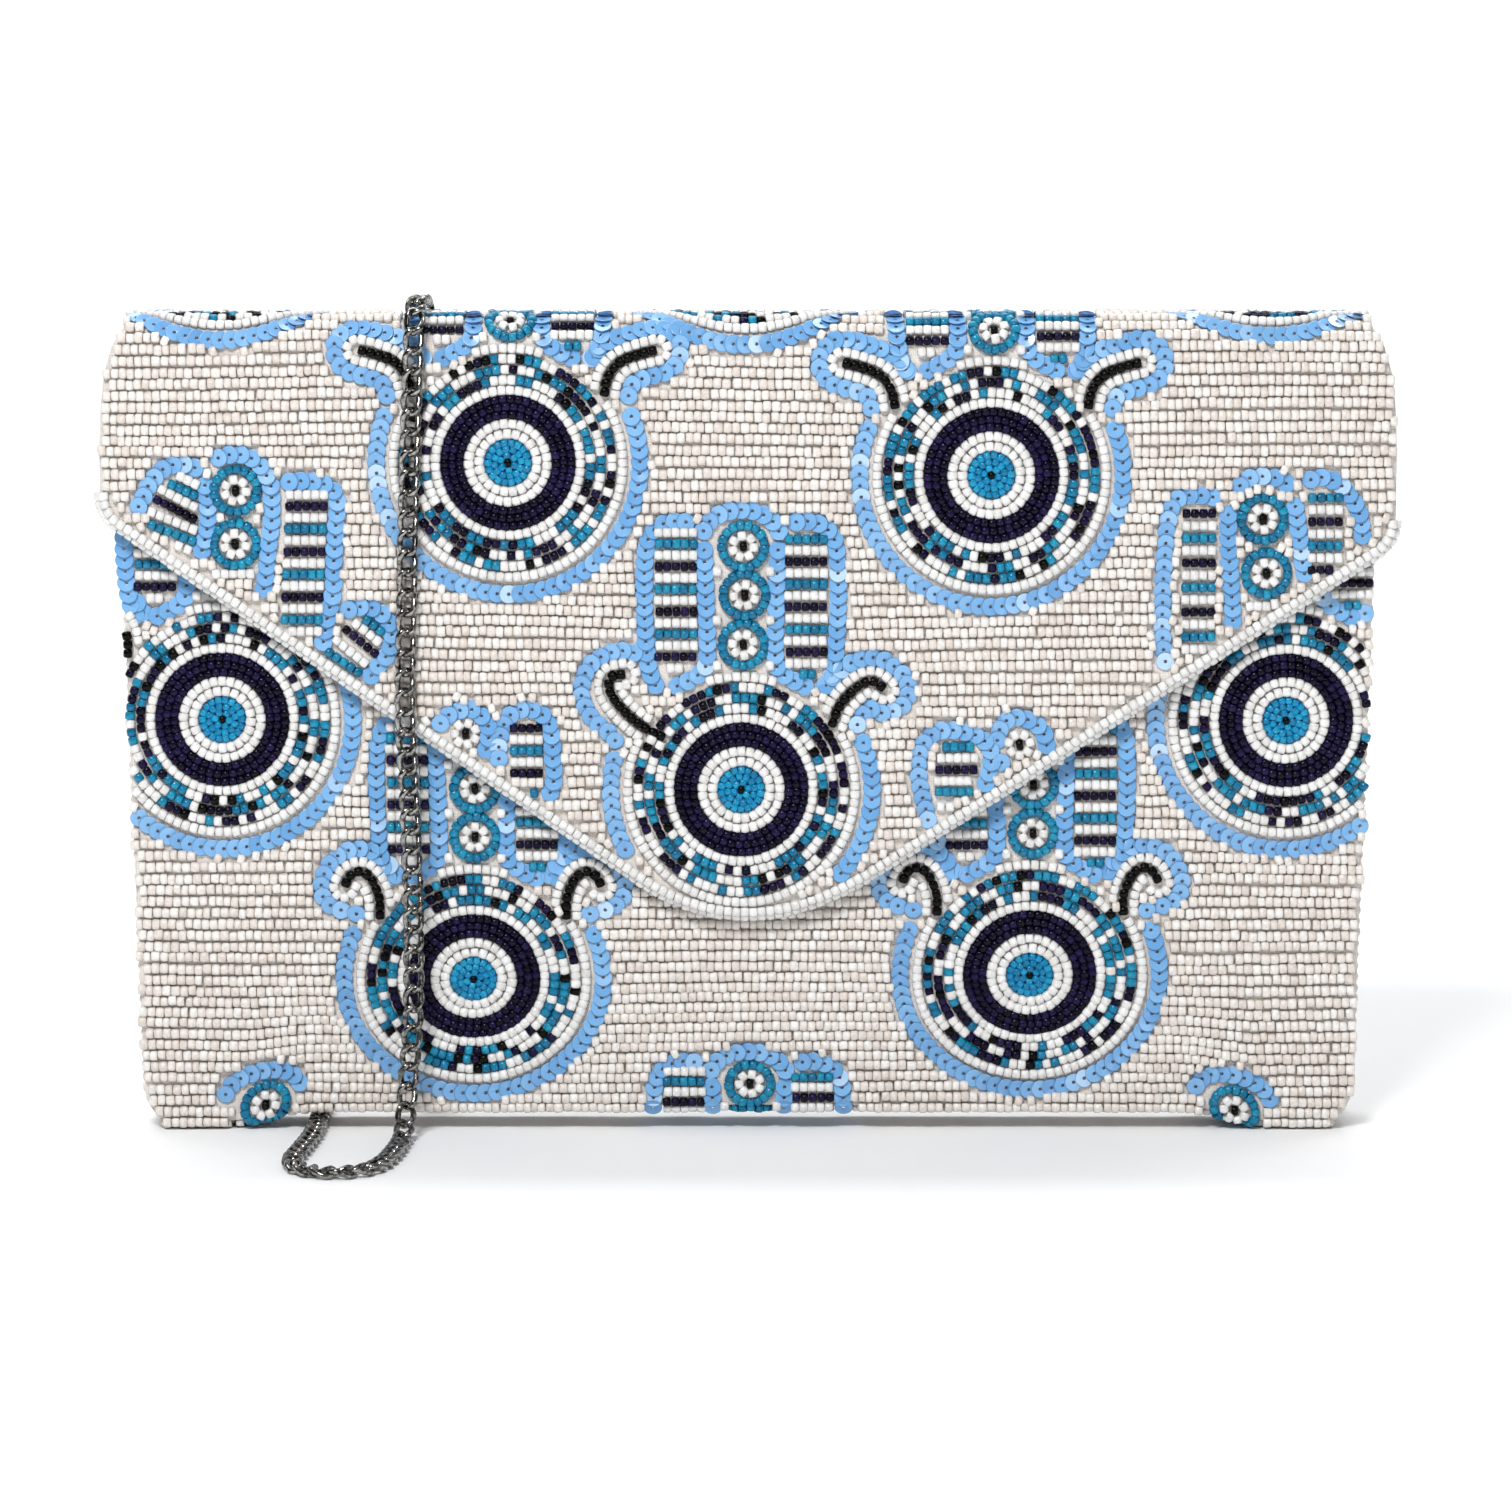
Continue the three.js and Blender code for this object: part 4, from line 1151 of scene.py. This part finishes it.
# Each tab is a ribbon across X that runs through its ring, as depth and height
TAB_PATH = [(19.8, 172.4), (17.5, 171.6), (14.2, 165.2), (13.1, 162.2), (13.7, 160.9), (14.8, 160.6),
            (15.9, 161.6), (17.6, 165.4), (19.8, 169.3)]
TAB_X, TAB_HALF_WIDTH = 109, 3.4
for side, sign in (("left", -1), ("right", 1)):
    xs = sign * TAB_X + np.linspace(-TAB_HALF_WIDTH, TAB_HALF_WIDTH, 8)
    grid = np.array([[(x, y_at(t), z) for x in xs] for t, z in curve2(TAB_PATH, 6)])
    tab = sheet_grid(side + "_ring_tab", grid, LINING_MATERIAL, CLOTH_THICK)
    add_sheet(tab, "bag", [side + "_tab"])


def binding(name, body, centre, across, lift, half_across, half_lift):
    """A strip of lining of oval section along a line of points, each with the section's two directions."""
    n, m = len(centre), 10
    turns = np.linspace(0, TAU, m, endpoint=False)
    points = np.stack([centre + half_across * math.cos(w) * across + half_lift * math.sin(w) * lift
                       for w in turns], 1)
    faces = [*grid_faces(n, m, closed_m=True), range(m)[::-1], range((n - 1) * m, n * m)]
    obj = mesh_object(name, points.reshape(-1, 3) * MM, faces)
    obj.data.materials.append(LINING_MATERIAL)
    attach(obj, body)


def upright(line, y):
    """Points or directions (x, z) of the front plane as vectors with this y."""
    return np.stack([line[:, 0], np.full(len(line), y), line[:, 1]], 1)


hem = FLAP_EDGE[1:-1]
hem_in = inwards(hem)
binding("flap_edge_binding", "flap", upright(hem + 1.15 * hem_in, y_at(3.05)), upright(hem_in, 0.0),
        np.tile([0, 1.0, 0], (len(hem), 1)), 0.55, 0.95)
mouth = np.stack([np.linspace(-135.2, 135.2, 60), np.full(60, FRONT_TOP - 0.55)], 1)
binding("mouth_binding", "bag", upright(mouth, y_at(7.95)), np.tile([0, 1.0, 0], (60, 1)),
        np.tile([0, 0, 1.0], (60, 1)), 0.95, 0.6)

POCKET_HALF_WIDTH = 64.6
pocket_u = np.linspace(-POCKET_HALF_WIDTH, POCKET_HALF_WIDTH, 60)
bulge = 0.28 * np.sin(np.pi * (pocket_u + POCKET_HALF_WIDTH) / (2 * POCKET_HALF_WIDTH))
pocket = []
for z in np.linspace(40.4, 139.6, 44):
    belly = bulge * smooth(z, 44, 139)
    depth = 19.55 - belly - 0.05 * np.sin(pocket_u / 7 + z / 13)
    pocket.append(np.stack([pocket_u, y_at(depth), np.full(60, z)], 1))
add_sheet(sheet_grid("slip_pocket_panel", np.array(pocket), LINING_MATERIAL, 0.3), "bag", ["slip_pocket"])

for name, pieces in PIECES.items():
    for piece in pieces:
        if name == "front_fold":
            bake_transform(piece)
        elif name == "back_fold":
            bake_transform(piece)
        else:
            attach(piece, "flap" if name == "flap" else "bag")
        if name != "back_fold":
            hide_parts(("spine" if name == "front_fold" else name) + "_beadwork")

for node_name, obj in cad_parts.items():
    if node_name.endswith("_board"):
        material = BOARD_MATERIAL
    elif node_name.startswith("snap_"):
        material = SNAP_NICKEL
    elif obj.hide_render:
        continue
    else:
        material = NICKEL
    obj.data.materials.clear()
    obj.data.materials.append(material)


# ---- chain strap
LINK_PITCH = 4.3
WIRE_R, WIRE_SIDES, LINK_STEPS = 0.68, 8, 22
# Half the length and half the width of a link's centre line, and how far its curb twist lifts it
LINK_A, LINK_B, TWIST = 2.66, 1.68, 0.62
# Where the chain lies on the floor, passes over the fold and bends round the bag's sides
FLOOR_BELOW, FOLD_ABOVE, SIDE_BEYOND, SIDE_ABOVE = 4, 178.5, 131, 130


def chain_normals(path):
    """Which way the flat of the links faces: out of the bag on it, up on the floor."""
    raw = np.zeros_like(path)
    for i, (x, y, z) in enumerate(path):
        if z < FLOOR_BELOW or z > FOLD_ABOVE:
            raw[i] = (0, 0, 1)
        elif y < 0 and z > 8:
            raw[i] = (0, -1, 0)
        elif abs(x) > SIDE_BEYOND and z > SIDE_ABOVE:
            raw[i] = (math.copysign(1, x), 0.3, 0.2)
        else:
            raw[i] = (0, 1, 0)
    window = np.ones(17) / 17
    padded = np.pad(raw, ((8, 8), (0, 0)), mode="edge")
    soft = np.stack([np.convolve(padded[:, k], window, "valid") for k in range(3)], 1)
    tangent = unit(np.gradient(path, axis=0))
    soft -= np.sum(soft * tangent, 1, keepdims=True) * tangent
    return unit(soft), tangent


def link_template():
    """Vertices of one curb link as (along, across, out), and its faces."""
    w = np.linspace(0, TAU, LINK_STEPS, endpoint=False)
    tube = np.linspace(0, TAU, WIRE_SIDES, endpoint=False)
    line = np.stack([LINK_A * np.cos(w), LINK_B * np.sin(w), TWIST * np.sin(2 * w)], 1)
    step = unit(np.stack([-LINK_A * np.sin(w), LINK_B * np.cos(w), 2 * TWIST * np.cos(2 * w)], 1))
    side = unit(np.cross(step, np.array([0, 0, 1.0])))
    lift = np.cross(side, step)
    verts = (line[:, None] + WIRE_R * (np.cos(tube)[None, :, None] * side[:, None]
                                       + np.sin(tube)[None, :, None] * lift[:, None]))
    return verts.reshape(-1, 3), grid_faces(LINK_STEPS, WIRE_SIDES, True, True)[:, [0, 3, 2, 1]]


def chain(name, route):
    """Links along a route. Returns the object, its path and its length, in metres."""
    path = spline(to_rows(route))
    length = along(path)[-1]
    path = resample(path, np.linspace(0, length, int(length / 0.5) + 1))
    s = np.linspace(0, length, len(path))
    local, quads = link_template()
    count = max(int(round(length / LINK_PITCH)), 2)
    lines = (path, *chain_normals(path))
    verts, faces = [], []
    for k in range(count):
        at = (k + 0.5) * length / count
        c, n, t = (np.array([np.interp(at, s, line[:, m]) for m in range(3)]) for line in lines)
        t = unit(t)
        n = unit(unit(n) - (unit(n) @ t) * t)
        verts.append(c + local[:, :1] * t + local[:, 1:2] * np.cross(n, t) + local[:, 2:] * n)
        faces.append(quads + k * len(local))
    obj = mesh_object(name, np.vstack(verts) * MM, np.vstack(faces))
    obj.data.materials.append(NICKEL)
    return obj, path * MM, length * MM


def strap_run(name, route, node_name):
    obj, path, length = chain(name, route)
    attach(obj, "bag")
    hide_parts(node_name)
    return obj


strap_run("left_chain", STRAP_LEFT, "strap_left_run")
drape = strap_run("drape_chain", STRAP_DRAPE, "strap_drape_run")
strap_run("right_chain", STRAP_RIGHT, "strap_right_run")
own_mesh(drape)


# ---- stage, camera and light
def sweep_floor():
    """White floor that curves up into a backdrop far behind."""
    line = [(-6, 0), (1.5, 0)] + [(1.5 + 1.5 * math.sin(a), 1.5 - 1.5 * math.cos(a))
                                  for a in np.linspace(0.1, math.pi / 2, 16)] + [(3.0, 6)]
    verts = [(x, y, z) for x in (-6, 6) for y, z in line]
    n = len(line)
    obj = mesh_object("floor", verts, [(i, n + i, n + i + 1, i + 1) for i in range(n - 1)])
    material, _ = nodes_of("paper_white")
    obj.data.materials.append(shade(material, Base_Color=(0.93, 0.935, 0.94), Roughness=0.9,
                                    Specular_IOR_Level=0.1))
    return obj


sweep_floor()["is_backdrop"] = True

ELEVATION = math.radians(7.0)
AIM = Vector((0.0017, -0.012, 0.0832))
DISTANCE = 1.1
FRAME_WIDTH = 0.3262
SENSOR = 36
camera = place_object("camera", bpy.data.cameras.new("camera"))
camera.location = AIM + DISTANCE * Vector((0, -math.cos(ELEVATION), math.sin(ELEVATION)))
camera.rotation_euler = (math.pi / 2 - ELEVATION, 0, 0)
camera.data.sensor_width = SENSOR
camera.data.lens = SENSOR * DISTANCE / FRAME_WIDTH
bpy.context.scene.camera = camera

for name, place, aim, size, power in (
        ("key", (-0.28, -0.92, 0.98), (0, 0, 0.09), (0.36, 0.28), 13),
        ("fill", (0.7, -1.2, 0.4), (0, 0, 0.08), (0.4, 0.4), 1.5),
        ("backdrop_wash", (0, 0.9, 2.2), (0, 1.8, 0.2), (3.0, 1.0), 60)):
    light = place_object(name, bpy.data.lights.new(name, "AREA"))
    light.location = place
    light.rotation_euler = (Vector(aim) - Vector(place)).to_track_quat("-Z", "Y").to_euler()
    light.data.shape = "RECTANGLE"
    light.data.size, light.data.size_y = size
    light.data.energy = power

# The sky is bright overhead and dims towards the camera's side, so that the key light's shadows stay
world = bpy.data.worlds.new("studio")
bpy.context.scene.world = world
world.use_nodes = True
sky = world.node_tree
direction = sky.nodes.new("ShaderNodeTexCoord").outputs["Generated"]
split = node(sky, "SeparateXYZ", Vector=direction)
by_height = ramp(sky, split.outputs["Z"], [(0.0, (0.16, 0.15, 0.14)), (0.25, (0.30, 0.30, 0.30)),
                                           (0.6, (0.80, 0.81, 0.83)), (1.0, (1, 1, 1))])
by_depth = node(sky, "MapRange", Value=split.outputs["Y"], From_Min=-1.0, From_Max=-0.2, To_Min=0.28,
                To_Max=1.0)
scaled = sky.nodes.new("ShaderNodeVectorMath")
scaled.operation = "SCALE"
put(sky, scaled.inputs[0], by_height)
put(sky, scaled.inputs["Scale"], by_depth.outputs["Result"])
put(sky, sky.nodes["Background"].inputs["Color"], scaled.outputs["Vector"])
sky.nodes["Background"].inputs["Strength"].default_value = 0.41
bpy.context.scene.view_settings.view_transform = "Standard"

size = {"cad": [list(c) for c in cad_box], "visual": [list(c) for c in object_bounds()]}
